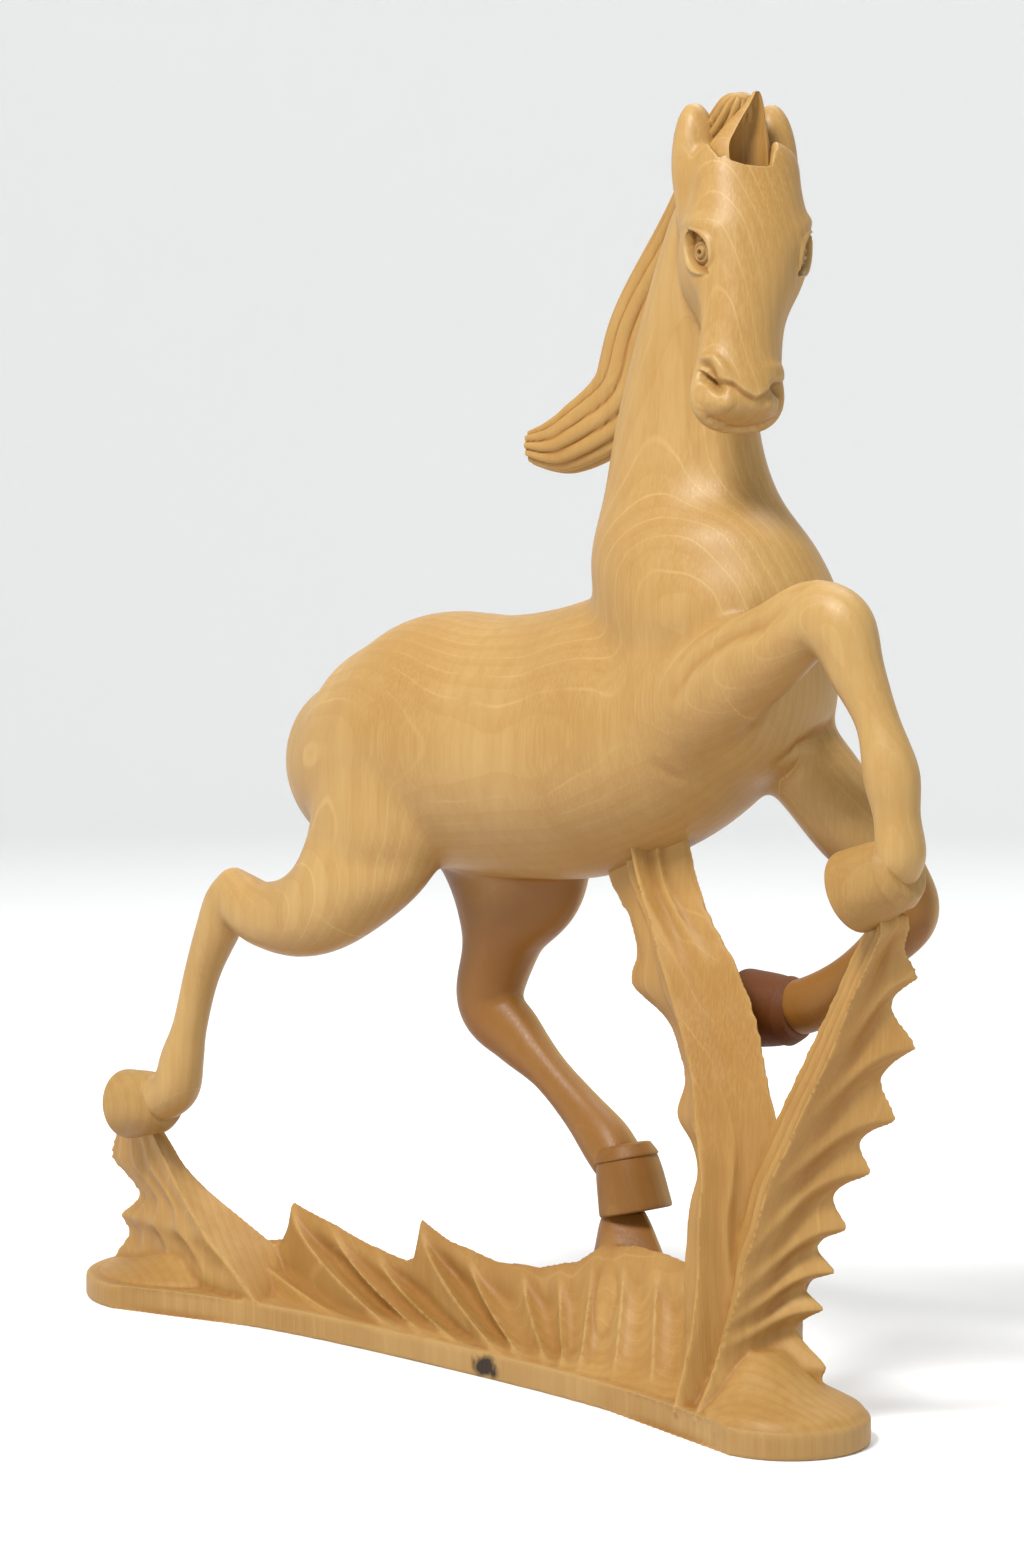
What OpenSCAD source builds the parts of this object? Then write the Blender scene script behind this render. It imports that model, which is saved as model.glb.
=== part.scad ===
// Running horse carved with its base from one limewood plank, as separate solids.
// The horse faces +X, its left side is +Y. The origin is the centre of the underside.

/* [Base] */
// Length of the base from end to end
base_length = 333; // [290:1:400]
// Width of the round rear end of the base
base_end_width = 76; // [60:1:90]
// Radius of the lobe at the front of the base
front_lobe = 24; // [20:1:28]
// Width of the base at its narrow waist
base_waist_width = 40; // [30:1:56]
// Height of the flat rim of the base
base_rim = 8; // [6:0.5:12]
// Height of the rear wave crest above the underside
rear_crest_height = 37; // [30:1:46]
// Height of the middle wave crest above the underside
mid_crest_height = 39.5; // [30:1:48]
// Height of the wedge under the left hind hoof
wedge_height = 53; // [46:1:60]

/* [Trunk of the horse] */
// Length of the trunk from buttock to chest
body_length = 206; // [180:2:240]
// Depth of the barrel from back to belly
body_depth = 81; // [68:1:96]
// Width of the barrel
body_width = 60; // [48:1:72]
// Height of the croup above the underside
croup_height = 231; // [220:1:250]

/* [Neck and head] */
// Height of the poll, the top of the neck, above the underside
poll_height = 357; // [340:1:380]
// Width of the neck at its middle
neck_width = 30; // [24:1:38]
// Length of the head from poll to lips
head_length = 80; // [68:1:92]
// Width of the head across the eyes
head_width = 36; // [30:0.5:42]
// Turn of the face away from straight ahead, towards the right side
head_turn = 35; // [20:1:45]
// Height of an ear
ear_length = 22; // [16:1:27]
// Length of the flying mane behind the neck
mane_reach = 58; // [44:1:66]

/* [Legs] */
// Radius of a hoof at its sole
hoof_radius = 11.5; // [9.5:0.5:13]
// Thickness of the cannon bones
cannon_thickness = 11.5; // [9:0.5:14]
// Height of the right hind hoof's middle above the underside
right_hind_height = 67; // [60:1:76]
// Height of the right fore hoof's middle above the underside
right_fore_height = 161; // [150:1:170]

/* [Hidden] */

// Colours of the bare wood, lit and shaded
wood = [0.82, 0.67, 0.45];
wood_shaded = [0.74, 0.57, 0.36];
wood_rim = [0.78, 0.61, 0.39];
wood_dark = [0.60, 0.42, 0.24];

// Fineness of the carved forms: sides of a ring, rings between two stations
ring_sides = 16;
ring_steps = 3;
across = [0, 1, 0];

// ---- Landmarks that the pieces share ----
axis_z = croup_height - body_depth / 2;
trunk_rear = -71;
function trunk_x(part) = trunk_rear + body_length * part;
function trunk_z(part) = axis_z + body_depth * part;
half_body = body_width / 2;
belly_z = axis_z - body_depth / 2;
rear_end = -169;
front_end = rear_end + base_length;
end_radius = base_end_width / 2;
rear_centre = rear_end + end_radius;
lobe_centre = [front_end - front_lobe - 2, -12];
poll = [trunk_x(1) - 23, -2, poll_height];
face = [cos(head_turn), -sin(head_turn), 0];
face_side = [sin(head_turn), cos(head_turn), 0];
// A hoof reaches this far from its middle, up to the coronet and down to the sole
hoof_rise = 9;
hoof_drop = 11;
// Depth to which a hoof is bedded into the wood that carries it
bedding = 2.5;
right_hind_foot = [rear_centre + 3, -24, right_hind_height];
left_hind_foot = [56, 12, wedge_height + hoof_drop - bedding];
right_fore_foot = [trunk_x(1) + 46, -24, right_fore_height];
left_fore_foot = [trunk_x(1) - 25, 16, 116];
cannon = cannon_thickness / 2;

// ---- Smooth rings through a list of stations [x, y, z, half depth, half width] ----
function between(a, b, c, d, t) =
    0.5 * (2 * b + (c - a) * t + (2 * a - 5 * b + 4 * c - d) * t * t
           + (3 * b - a - 3 * c + d) * t * t * t);
function smoothed(s) = [
    for (i = [0 : len(s) - 2], k = [0 : ring_steps - 1])
        between(s[max(i - 1, 0)], s[i], s[i + 1], s[min(i + 2, len(s) - 1)], k / ring_steps),
    s[len(s) - 1]];
function place(s) = [s[0], s[1], s[2]];
function unit(v) = v / norm(v);
function ring(s, i, side) =
    let (ahead = unit(place(s[min(i + 1, len(s) - 1)]) - place(s[max(i - 1, 0)])),
         deep = unit(cross(ahead, side)),
         wide = cross(deep, ahead))
    [for (k = [0 : ring_sides - 1])
        let (a = 360 * (k + 0.5) / ring_sides)
        place(s[i]) + deep * s[i][3] * cos(a) + wide * s[i][4] * sin(a)];

// A carved form: the hull of each ring with the next, all along the stations
module form(stations, side = across) {
    s = smoothed(stations);
    n = ring_sides;
    for (i = [0 : len(s) - 2])
        hull()
            polyhedron(points = concat(ring(s, i, side), ring(s, i + 1, side)),
                       faces = [[for (k = [0 : n - 1]) k], [for (k = [0 : n - 1]) 2 * n - 1 - k]]);
}

// ---- Base ----
// Half width of the base at x, between the waist and the end whose centre is at far
function base_half(x, end, far) =
    base_waist_width / 2 + (end - base_waist_width / 2) * pow(abs(x / far), 3);
near_edge = lobe_centre[1] - front_lobe;
far_end = lobe_centre[0] - 36;
far_lobe_y = 6;
module plinth() color(wood_rim)
    linear_extrude(base_rim) {
        polygon(concat(
            [for (k = [-10 : 10]) let (x = k < 0 ? -rear_centre * k / 10 : lobe_centre[0] * k / 10)
                [x, k < 0 ? -base_half(x, end_radius, rear_centre)
                          : -base_half(x, -near_edge, lobe_centre[0])]],
            [for (k = [10 : -1 : -10]) let (x = k < 0 ? -rear_centre * k / 10 : far_end * k / 10)
                [x, k < 0 ? base_half(x, end_radius, rear_centre)
                          : base_half(x, far_lobe_y + front_lobe, far_end)]]));
        translate([rear_centre, 0]) circle(end_radius, $fn = 60);
        hull() {
            translate(lobe_centre) circle(front_lobe, $fn = 60);
            translate([far_end, far_lobe_y]) circle(front_lobe, $fn = 60);
        }
    }

// Where the rear plume, the belly post and the front plume root on the plinth
rear_root = rear_centre + 3;
post_root = lobe_centre[0] - 21;
front_root = lobe_centre[0] - 8;

// Crest line of the ridge, [part of the way from the rear root to the post root, height, half width
// of the foot], with two waves that lean back
crest_line = [
    [0.065, 24, 15], [0.127, 22.5, 23], [0.167, 26, 21.5], [0.184, rear_crest_height, 21],
    [0.253, rear_crest_height - 4, 19.5], [0.335, 28, 18.5], [0.408, 26.5, 18.5], [0.422, 28, 18.5],
    [0.433, mid_crest_height, 18.5], [0.486, mid_crest_height - 5, 18.5], [0.571, 31, 18.5],
    [0.645, 32, 18.5], [0.710, 36, 18.5], [0.775, 40, 19.5], [0.865, 41, 21], [0.931, 38, 15]];
ridge_thin = 3;
// Half section of the ridge, from its foot to its crest, hollow as the gouge leaves it
function ridge_section(w, h) = [
    [-w, 0], [-w * 0.66, h * 0.20], [-w * 0.38, h * 0.50], [-ridge_thin, h * 0.93], [0, h],
    [ridge_thin, h * 0.93], [w * 0.38, h * 0.50], [w * 0.66, h * 0.20], [w, 0]];
module ridge_form() {
    n = 9;
    m = len(crest_line);
    wide = (base_waist_width / 2) / 20;
    points = [for (c = crest_line, p = ridge_section(c[2] * wide, c[1] - base_rim))
        [rear_root + (post_root - rear_root) * c[0], p[0], base_rim + p[1]]];
    sides = [for (i = [0 : m - 2], k = [0 : n - 1])
        each [[i * n + k, (i + 1) * n + (k + 1) % n, (i + 1) * n + k],
              [i * n + k, i * n + (k + 1) % n, (i + 1) * n + (k + 1) % n]]];
    first = [for (k = [0 : n - 1]) n - 1 - k];
    last = [for (k = [0 : n - 1]) (m - 1) * n + k];
    polyhedron(points = points, faces = concat(sides, [first, last]));
}

// A form that stands on the flat top of the plinth
module standing() difference() {
    children();
    translate([-base_length, -base_length, base_rim - base_length])
        cube([2 * base_length, 2 * base_length, base_length]);
}

module ground_ridge() color(wood)
    difference() {
        ridge_form();
        rear_plume_form();
        belly_post_form();
        front_plume_form();
        hoof_wedge_form();
    }

module hoof_wedge_form() standing() form([
    [62, 3, base_rim - 6, 19, 11], [62, 4, 20, 16, 10], [61, 7, 34, 12, 8],
    [57, 10, wedge_height - 6, 9, 7], [54, 11, wedge_height, 6, 5]]);
module hoof_wedge() color(wood)
    difference() {
        hoof_wedge_form();
        left_hind_hoof_form();
        belly_post_form();
    }

// A stem from its root on the plinth to its tip, [part of the reach, y, part of the height, half
// depth, half width]
module stem(root_x, tip_x, tip_z, shape) standing() form([for (t = shape)
    [root_x + (tip_x - root_x) * t[0], t[1], base_rim + (tip_z - base_rim) * t[2], t[3], t[4]]]);

module rear_plume_form()
    stem(rear_root, right_hind_foot[0] - 12, right_hind_height - hoof_radius + bedding, [
        [0, -2, -0.12, 29, 30], [0.05, -4, 0.06, 26, 23], [-0.25, -8, 0.18, 22, 15],
        [-0.35, -11, 0.34, 18, 11], [0, -13, 0.50, 12.5, 9.5], [0.50, -15, 0.65, 13.5, 10],
        [0.88, -17, 0.82, 11, 9], [1, -20, 1, 7.5, 7]]);
module rear_plume() color(wood_shaded)
    difference() {
        rear_plume_form();
        right_hind_hoof_form();
    }

// The post's tip is bedded in the belly
post_tip = trunk_x(0.70);
module belly_post_form()
    stem(post_root, post_tip, belly_z + 22, [
        [0, -4, -0.05, 24, 24], [0, -4, 0.04, 20, 20], [0.05, -4, 0.13, 15, 16],
        [0.09, -4, 0.29, 13.5, 14], [0.12, -5, 0.41, 14.5, 13], [0.14, -5, 0.53, 17, 12],
        [0.26, -5, 0.634, 15.5, 10], [0.46, -4, 0.726, 18.5, 10], [0.70, -4, 0.805, 16.5, 9.5],
        [0.93, -3, 0.90, 16.5, 9], [1, -2, 1, 15, 8]]);
module belly_post() color(wood)
    difference() {
        belly_post_form();
        trunk_form();
        front_plume_form();
    }

// The leaf edge of the front plume swells at each scallop
module front_plume_form()
    stem(front_root, right_fore_foot[0] - 2, right_fore_height - hoof_radius + bedding, [
        [0, -9, -0.055, 27, 23], [-0.04, -9, 0.03, 20, 19], [-0.08, -8, 0.118, 14, 15],
        [-0.06, -6, 0.215, 17, 14], [-0.06, -7, 0.27, 14.5, 13], [0.02, -8, 0.34, 18, 13],
        [0.02, -8, 0.403, 15, 12], [0.22, -9, 0.486, 20, 12], [0.30, -9, 0.55, 18, 11],
        [0.51, -11, 0.618, 20, 10], [0.59, -12, 0.68, 16, 9], [0.83, -14, 0.757, 18, 9],
        [0.86, -16, 0.826, 12, 8], [0.98, -19, 0.917, 8, 7.5], [1, -21, 1, 6.5, 6]]);
module front_plume() color(wood_shaded)
    difference() {
        front_plume_form();
        right_fore_hoof_form();
        left_foreleg_form();
        left_fore_hoof_form();
    }

// ---- Trunk, neck and head ----
// Stations of the trunk: part of the length, middle, half depth, half width
trunk_shape = [
    [-0.012, -0.06, 0.03, 0.04], [0, -0.06, 0.15, 0.17], [0.03, -0.07, 0.26, 0.31],
    [0.117, -0.09, 0.38, 0.45], [0.214, -0.04, 0.44, 0.50], [0.30, 0, 0.49, 0.5],
    [0.44, -0.01, 0.49, 0.5], [0.58, 0.02, 0.5, 0.5], [0.72, 0.12, 0.48, 0.5],
    [0.845, 0.22, 0.40, 0.48], [0.93, 0.24, 0.31, 0.43], [0.975, 0.25, 0.22, 0.33],
    [1, 0.25, 0.09, 0.15]];
module trunk_form() form([for (t = trunk_shape)
    [trunk_x(t[0]), 0, trunk_z(t[1]), body_depth * t[2], body_width * t[3]]]);
module trunk() color(wood) trunk_form();

half_neck = neck_width / 2;
chest_x = trunk_x(0.83);
// Height on the neck, from where it leaves the withers to the poll
neck_root_z = trunk_z(0.92);
function neck_z(part) = neck_root_z + (poll[2] - neck_root_z) * part;
module neck_form() form([
    [chest_x - 8, 0, trunk_z(0.22), 34, half_body * 0.8],
    [chest_x - 2, 0, trunk_z(0.47), 40, half_body * 0.93],
    [chest_x - 9, 0, trunk_z(0.67), 36.5, half_neck * 1.55],
    [chest_x - 11.5, 0, neck_root_z, 28.5, half_neck * 1.15],
    [chest_x - 11, 0, neck_z(0.21), 24.5, half_neck],
    [chest_x - 8, 0, neck_z(0.42), 22, half_neck * 0.9],
    [poll[0] - 16.5, 0, neck_z(0.65), 17.5, half_neck * 0.82],
    [poll[0] - 9.5, -1, neck_z(0.87), 14.5, half_neck * 0.76],
    [poll[0] - 4, -2, neck_z(0.99), 9, half_neck * 0.66]]);
module neck() color(wood)
    difference() {
        neck_form();
        trunk_form();
    }

// Stations of the head: part of the length, forward, to the right, half depth, half width
head_shape = [
    [-0.075, -2, 0, 0.14, 0.30], [0.03, -1, 0, 0.19, 0.44], [0.18, 1, 0, 0.21, 0.48],
    [0.31, 4, 0.5, 0.22, 0.5], [0.43, 8, 2, 0.20, 0.45], [0.57, 13, 4, 0.165, 0.335],
    [0.71, 17, 6, 0.135, 0.325], [0.83, 21, 7, 0.13, 0.365], [0.91, 23, 7.5, 0.11, 0.31],
    [0.95, 24, 7.5, 0.05, 0.17]];
head_stations = [for (h = head_shape)
    let (at = poll + face * h[1] - face_side * h[2])
    [at[0], at[1], poll[2] - head_length * h[0], head_length * h[3], head_width * h[4]]];
module head_form() form(head_stations, face_side);
module head() color(wood)
    difference() {
        head_form();
        neck_form();
        right_eye_form();
        left_eye_form();
    }

// Eyes: balls in almond sockets, on the sides of the forehead
eye_radius = 4.2;
eye_level = head_stations[3];
eye_turn = 58;
// Distance of the head's skin from its axis, in the direction of an eye
eye_skin = 1 / sqrt(pow(cos(eye_turn) / eye_level[3], 2) + pow(sin(eye_turn) / eye_level[4], 2));
module eye_form(turn)
    translate(place(eye_level)) rotate([0, 0, turn - head_turn]) translate([eye_skin - 1.5, 0, 0])
        hull() for (k = [0 : 8])
            rotate([40 * k, 0, 0]) translate([0, 1.2, 0]) sphere(eye_radius - 1.2, $fn = 10);
module right_eye_form() eye_form(-eye_turn);
module left_eye_form() eye_form(eye_turn);
module right_eye() color(wood_dark) right_eye_form();
module left_eye() color(wood_dark) left_eye_form();

// An ear: a rounded leaf that lies back on the side of the head; lead is -1 right, 1 left
module ear_form(lead) {
    root = poll - face * 7 + face_side * (lead * head_width * 0.385 - 1.2);
    form([
        [root[0] + 3, root[1], root[2] - 12, 4, 3.2], [root[0] + 1, root[1], root[2] - 3, 5, 4.2],
        [root[0], root[1], root[2] + ear_length * 0.4, 5.2, 4.6],
        [root[0] - 1, root[1], root[2] + ear_length * 0.70, 4, 3.8],
        [root[0] - 1, root[1], root[2] + ear_length * 0.83, 1.6, 1.6]], face_side);
}
module right_ear() color(wood)
    difference() {
        ear_form(-1);
        head_form();
        neck_form();
    }
module left_ear() color(wood)
    difference() {
        ear_form(1);
        head_form();
        neck_form();
    }

// The forelock rises between the ears to a sharp curled tip
module forelock_form() {
    at = poll + face * 3;
    form([
        [at[0], at[1], at[2] - 4, 7, 8], [at[0] + 1, at[1], at[2] + 5, 6, 7.5],
        [at[0] + 2, at[1] + 1, at[2] + 13, 4, 4.5], [at[0] + 4, at[1] + 2, at[2] + 19.5, 1.2, 1.4]],
        face_side);
}
module forelock() color(wood_shaded)
    difference() {
        forelock_form();
        head_form();
        neck_form();
        ear_form(-1);
        ear_form(1);
    }

// The mane: a lock along the crest of the neck that flies free to the rear
mane_tip = poll[0] - 35 - mane_reach;
module mane_form() form([
    [poll[0] - 2, -1, poll[2] + 17, 4, 5], [poll[0] - 9, 1, poll[2] + 7, 6.5, 6],
    [poll[0] - 27, 4, poll[2] - 16, 9, 5], [poll[0] - 45, 6, poll[2] - 43, 12.5, 5.5],
    [poll[0] - 56, 8, poll[2] - 64, 12.5, 6], [mane_tip + 17, 8, poll[2] - 75, 10, 6],
    [mane_tip + 1, 7, poll[2] - 77, 5, 4]], across);
module mane() color(wood_shaded)
    difference() {
        mane_form();
        neck_form();
        head_form();
        ear_form(-1);
        ear_form(1);
        forelock_form();
    }

// The tail: leaves the dock and sweeps down close against the left thigh
module tail_form() form([
    [trunk_x(0.10), 4, trunk_z(0.14), 7, 6], [trunk_x(0.02), 12, trunk_z(0.16), 6, 6],
    [trunk_x(0.03), half_body - 6, trunk_z(0.06), 8, 6],
    [trunk_x(0.09), half_body, trunk_z(-0.16), 10, 6],
    [trunk_x(0.14), half_body + 1, trunk_z(-0.32), 9, 5],
    [trunk_x(0.17), half_body, trunk_z(-0.44), 3, 2]]);
module tail() color(wood_shaded)
    difference() {
        tail_form();
        trunk_form();
        left_hind_leg_form();
    }

// ---- Legs ----
// Each leg starts inside the trunk and ends at its own hoof
module right_foreleg_form() {
    foot = right_fore_foot;
    shoulder = [trunk_x(0.83), -half_body * 0.55, trunk_z(0.16)];
    form([
        [shoulder[0], shoulder[1], shoulder[2], 19, 11],
        [shoulder[0] + 19, -21, shoulder[2] + 7, 16, 10.5],
        [foot[0] - 42, -24, foot[2] + 59, 13, 9.5], [foot[0] - 24, -25, foot[2] + 69, 10.5, 8.5],
        [foot[0] - 14, -25, foot[2] + 66, 10, 8.5], [foot[0] - 8, -25, foot[2] + 55, 8, 7],
        [foot[0] - 1, -25, foot[2] + 42, cannon + 0.4, cannon], [foot[0] + 4, -25, foot[2] + 28, 8.2, 7],
        [foot[0] + 6, -25, foot[2] + 17, 6.6, 6], [foot[0] + 7, -25, foot[2] + 7, 7, 7],
        [foot[0] + 4, -24.5, foot[2] + 1, 6, 6]]);
}
module left_foreleg_form() {
    foot = left_fore_foot;
    shoulder = [trunk_x(0.83), half_body * 0.4, trunk_z(0.14)];
    form([
        [shoulder[0], shoulder[1], shoulder[2], 18, 11],
        [shoulder[0] + 18, 15, shoulder[2] - 11, 14, 11],
        [foot[0] + 28, 17, foot[2] + 54.5, 13, 10], [foot[0] + 43, 18, foot[2] + 41, 9, 8],
        [foot[0] + 47, 18, foot[2] + 31, 8.5, 8], [foot[0] + 38, 18, foot[2] + 21, 7, 7],
        [foot[0] + 26, 18, foot[2] + 12, cannon + 0.5, cannon], [foot[0] + 15, 17, foot[2] + 4, 8, 7.5],
        [foot[0] + 7, 16, foot[2] + 1, 8, 8]]);
}
module right_hind_leg_form() {
    foot = right_hind_foot;
    hip = [trunk_x(0.25), -half_body * 0.5, trunk_z(-0.12)];
    form([
        [hip[0], hip[1], hip[2], 31, 15], [hip[0] - 5, -18, hip[2] - 20, 26, 14.5],
        [hip[0] - 18, -22, hip[2] - 38, 17.5, 13], [hip[0] - 33, -24, hip[2] - 46, 13.5, 11],
        [foot[0] + 59, -25, foot[2] + 67, 10.5, 9], [foot[0] + 45, -25, foot[2] + 71, 9, 7.5],
        [foot[0] + 37, -25, foot[2] + 60, 7.6, 6.8], [foot[0] + 29, -25, foot[2] + 45, cannon + 0.3, cannon],
        [foot[0] + 23, -25, foot[2] + 28, cannon, cannon], [foot[0] + 19, -25, foot[2] + 17, 7.5, 7],
        [foot[0] + 15, -24.5, foot[2] + 7, 8, 8], [foot[0] + 6, -24, foot[2] + 2, 8, 8]]);
}
module left_hind_leg_form() {
    foot = left_hind_foot;
    hip = [trunk_x(0.36), half_body * 0.4, trunk_z(-0.2)];
    form([
        [hip[0], hip[1], hip[2], 34, 15], [hip[0] + 1, 13, hip[2] - 25, 31, 13],
        [hip[0] - 5, 15, hip[2] - 47, 14, 11], [hip[0] - 10, 15, hip[2] - 66, 11.5, 9],
        [foot[0] - 51, 15, foot[2] + 37, 9.5, 7.5],
        [foot[0] - 36, 14, foot[2] + 27.5, cannon + 0.8, cannon],
        [foot[0] - 22.5, 14, foot[2] + 17.5, cannon + 1.2, cannon + 0.5],
        [foot[0] - 11, 13, foot[2] + 9, 8.5, 7.5], [foot[0] - 4, 12, foot[2] + 3, 8, 8]]);
}
module right_foreleg() color(wood)
    difference() {
        right_foreleg_form();
        trunk_form();
        neck_form();
        right_fore_hoof_form();
    }
module left_foreleg() color(wood_dark)
    difference() {
        left_foreleg_form();
        trunk_form();
        neck_form();
        left_fore_hoof_form();
        belly_post_form();
    }
module right_hind_leg() color(wood)
    difference() {
        right_hind_leg_form();
        trunk_form();
        right_hind_hoof_form();
    }
module left_hind_leg() color(wood_dark)
    difference() {
        left_hind_leg_form();
        trunk_form();
        right_hind_leg_form();
        left_hind_hoof_form();
    }

// A hoof: a drum that widens a little from the coronet to the sole
module hoof_form(foot, tilt) {
    along = [sin(tilt), 0, cos(tilt)];
    form([for (t = [[hoof_rise, 0.70], [hoof_rise - 3, 0.88], [0, 0.94], [-hoof_drop, 1]])
        let (at = foot + along * t[0])
        [at[0], at[1], at[2], hoof_radius * t[1], hoof_radius * t[1] * 0.93]]);
}
module right_fore_hoof_form() hoof_form(right_fore_foot, 68);
module left_fore_hoof_form() hoof_form(left_fore_foot, 88);
module right_hind_hoof_form() hoof_form(right_hind_foot, 82);
module left_hind_hoof_form() hoof_form(left_hind_foot, -14);
module right_fore_hoof() color(wood) right_fore_hoof_form();
module left_fore_hoof() color(wood_dark)
    difference() {
        left_fore_hoof_form();
        belly_post_form();
    }
module right_hind_hoof() color(wood) right_hind_hoof_form();
module left_hind_hoof() color(wood_dark) left_hind_hoof_form();

plinth();
ground_ridge();
hoof_wedge();
rear_plume();
belly_post();
front_plume();
trunk();
neck();
head();
right_eye();
left_eye();
right_ear();
left_ear();
forelock();
mane();
tail();
right_foreleg();
left_foreleg();
right_hind_leg();
left_hind_leg();
right_fore_hoof();
left_fore_hoof();
right_hind_hoof();
left_hind_hoof();
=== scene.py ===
import math

import bmesh
import bpy
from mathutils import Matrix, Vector
import numpy as np


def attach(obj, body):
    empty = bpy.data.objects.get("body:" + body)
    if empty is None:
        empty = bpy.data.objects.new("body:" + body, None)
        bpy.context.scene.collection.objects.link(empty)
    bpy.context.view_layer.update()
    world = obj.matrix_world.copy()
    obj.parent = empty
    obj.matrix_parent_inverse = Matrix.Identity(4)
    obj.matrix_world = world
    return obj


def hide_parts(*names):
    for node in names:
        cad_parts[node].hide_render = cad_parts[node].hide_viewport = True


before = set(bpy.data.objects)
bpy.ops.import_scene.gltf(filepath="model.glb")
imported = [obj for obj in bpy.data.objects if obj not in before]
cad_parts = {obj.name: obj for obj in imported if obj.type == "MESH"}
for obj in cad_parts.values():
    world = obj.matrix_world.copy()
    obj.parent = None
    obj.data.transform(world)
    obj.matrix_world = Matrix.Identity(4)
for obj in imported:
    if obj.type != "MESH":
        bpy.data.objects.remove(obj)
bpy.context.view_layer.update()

# ---------------------------------------------------------------- sizes, in millimetres
MM = 0.001
VOXEL_BODY = 0.85
VOXEL_BASE = 0.65

TRUNK_REAR = -71.0
BODY_LENGTH = 206.0
BODY_DEPTH = 81.0
BODY_WIDTH = 60.0
AXIS_Z = 190.5
HALF_NECK = 15.0
HEAD_LENGTH = 80.0
HEAD_WIDTH = 36.0
HEAD_TURN = math.radians(35)
POLL = np.array([112.0, -2.0, 357.0])
FACE = np.array([math.cos(HEAD_TURN), -math.sin(HEAD_TURN), 0.0])
FACE_SIDE = np.array([math.sin(HEAD_TURN), math.cos(HEAD_TURN), 0.0])
HOOF_RADIUS = 11.5
CANNON = 5.75
RIGHT_HIND_FOOT = np.array([-128.0, -24.0, 67.0])
LEFT_HIND_FOOT = np.array([56.0, 12.0, 61.5])
RIGHT_FORE_FOOT = np.array([181.0, -24.0, 161.0])
LEFT_FORE_FOOT = np.array([110.0, 16.0, 116.0])
BASE_RIM = 8.0
ACROSS = np.array([0.0, 1.0, 0.0])
LEVEL = np.array([1.0, 1.0, 0.0])
SHARP_EDGE = math.radians(48)


def along_trunk(part):
    """Length from the origin: the rear end of the trunk plus a part of the trunk's length."""
    return TRUNK_REAR + BODY_LENGTH * part


def up_trunk(part):
    """Height: the trunk's axis plus a part of the barrel's depth."""
    return AXIS_Z + BODY_DEPTH * part


# ---------------------------------------------------------------- surfaces
def unit(v):
    """Each row divided by its own length."""
    return v / np.maximum(np.linalg.norm(v, axis=-1, keepdims=True), 1e-9)


def smooth_step(x, low, high):
    """0 below low, 1 above high, and the cubic 3t^2 - 2t^3 between."""
    t = np.clip((x - low) / (high - low), 0, 1)
    return t * t * (3 - 2 * t)


def curve_through(rows, steps):
    """Catmull-Rom curve: in each span the cubic that passes both points along their neighbours' chords."""
    r = np.asarray(rows, float)
    p = np.vstack([r[:1], r, r[-1:]])
    a, b, c, d = p[:-3, None], p[1:-2, None], p[2:-1, None], p[3:, None]
    t = (np.arange(steps) / steps)[None, :, None]
    span = 0.5 * (2 * b + (c - a) * t + (2 * a - 5 * b + 4 * c - d) * t ** 2
                  + (3 * b - a - 3 * c + d) * t ** 3)
    return np.vstack([span.reshape(-1, r.shape[1]), r[-1:]])


def tube(stations, side=ACROSS, around=40, steps=8, power=2.0, level=False):
    """Rings square to the path, or level ones: centre + deep*hd*cos(a) + wide*hw*sin(a), with cos and sin
    raised to 2/power. A station is [x, y, z, hd, hw]."""
    s = curve_through(stations, steps)
    path = s[:, :3]
    ahead = unit(np.gradient(path, axis=0))
    if level:
        ahead = np.zeros_like(path) + np.array([0, 0, 1.0])
    deep = unit(np.cross(ahead, side))
    wide = np.cross(deep, ahead)
    a = np.linspace(0, 2 * math.pi, around, endpoint=False)
    c = np.sign(np.cos(a)) * np.abs(np.cos(a)) ** (2 / power)
    w = np.sign(np.sin(a)) * np.abs(np.sin(a)) ** (2 / power)
    return (path[:, None] + deep[:, None] * s[:, 3, None, None] * c[None, :, None]
            + wide[:, None] * s[:, 4, None, None] * w[None, :, None])


def leaf(corners, hollow, steps=10, per_side=24):
    """Level rings through corner curves: between two corners the ring is their chord moved outwards
    by hollow*sin(pi*s), where s runs from 0 to 1 along the side and a negative hollow is a gouged face."""
    curves = [curve_through(c, steps) for c in corners]
    middle = sum(curves) / len(curves)
    s = (np.arange(per_side) / per_side)[None, :, None]
    sides = []
    for i, here in enumerate(curves):
        there = curves[(i + 1) % len(curves)]
        chord = here[:, None] * (1 - s) + there[:, None] * s
        out = chord - middle[:, None]
        out[..., 2] = 0
        sides.append(chord + unit(out) * hollow[i] * np.sin(math.pi * s))
    return np.concatenate(sides, axis=1)


def ring_quads(rings, around):
    """Four-sided faces between neighbouring rings: corner k of ring i, its next, and both one ring on."""
    i, k = np.meshgrid(np.arange(rings - 1), np.arange(around), indexing="ij")
    j = (k + 1) % around
    here, there = i * around, (i + 1) * around
    return np.stack([here + k, here + j, there + j, there + k], -1).reshape(-1, 4)


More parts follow.
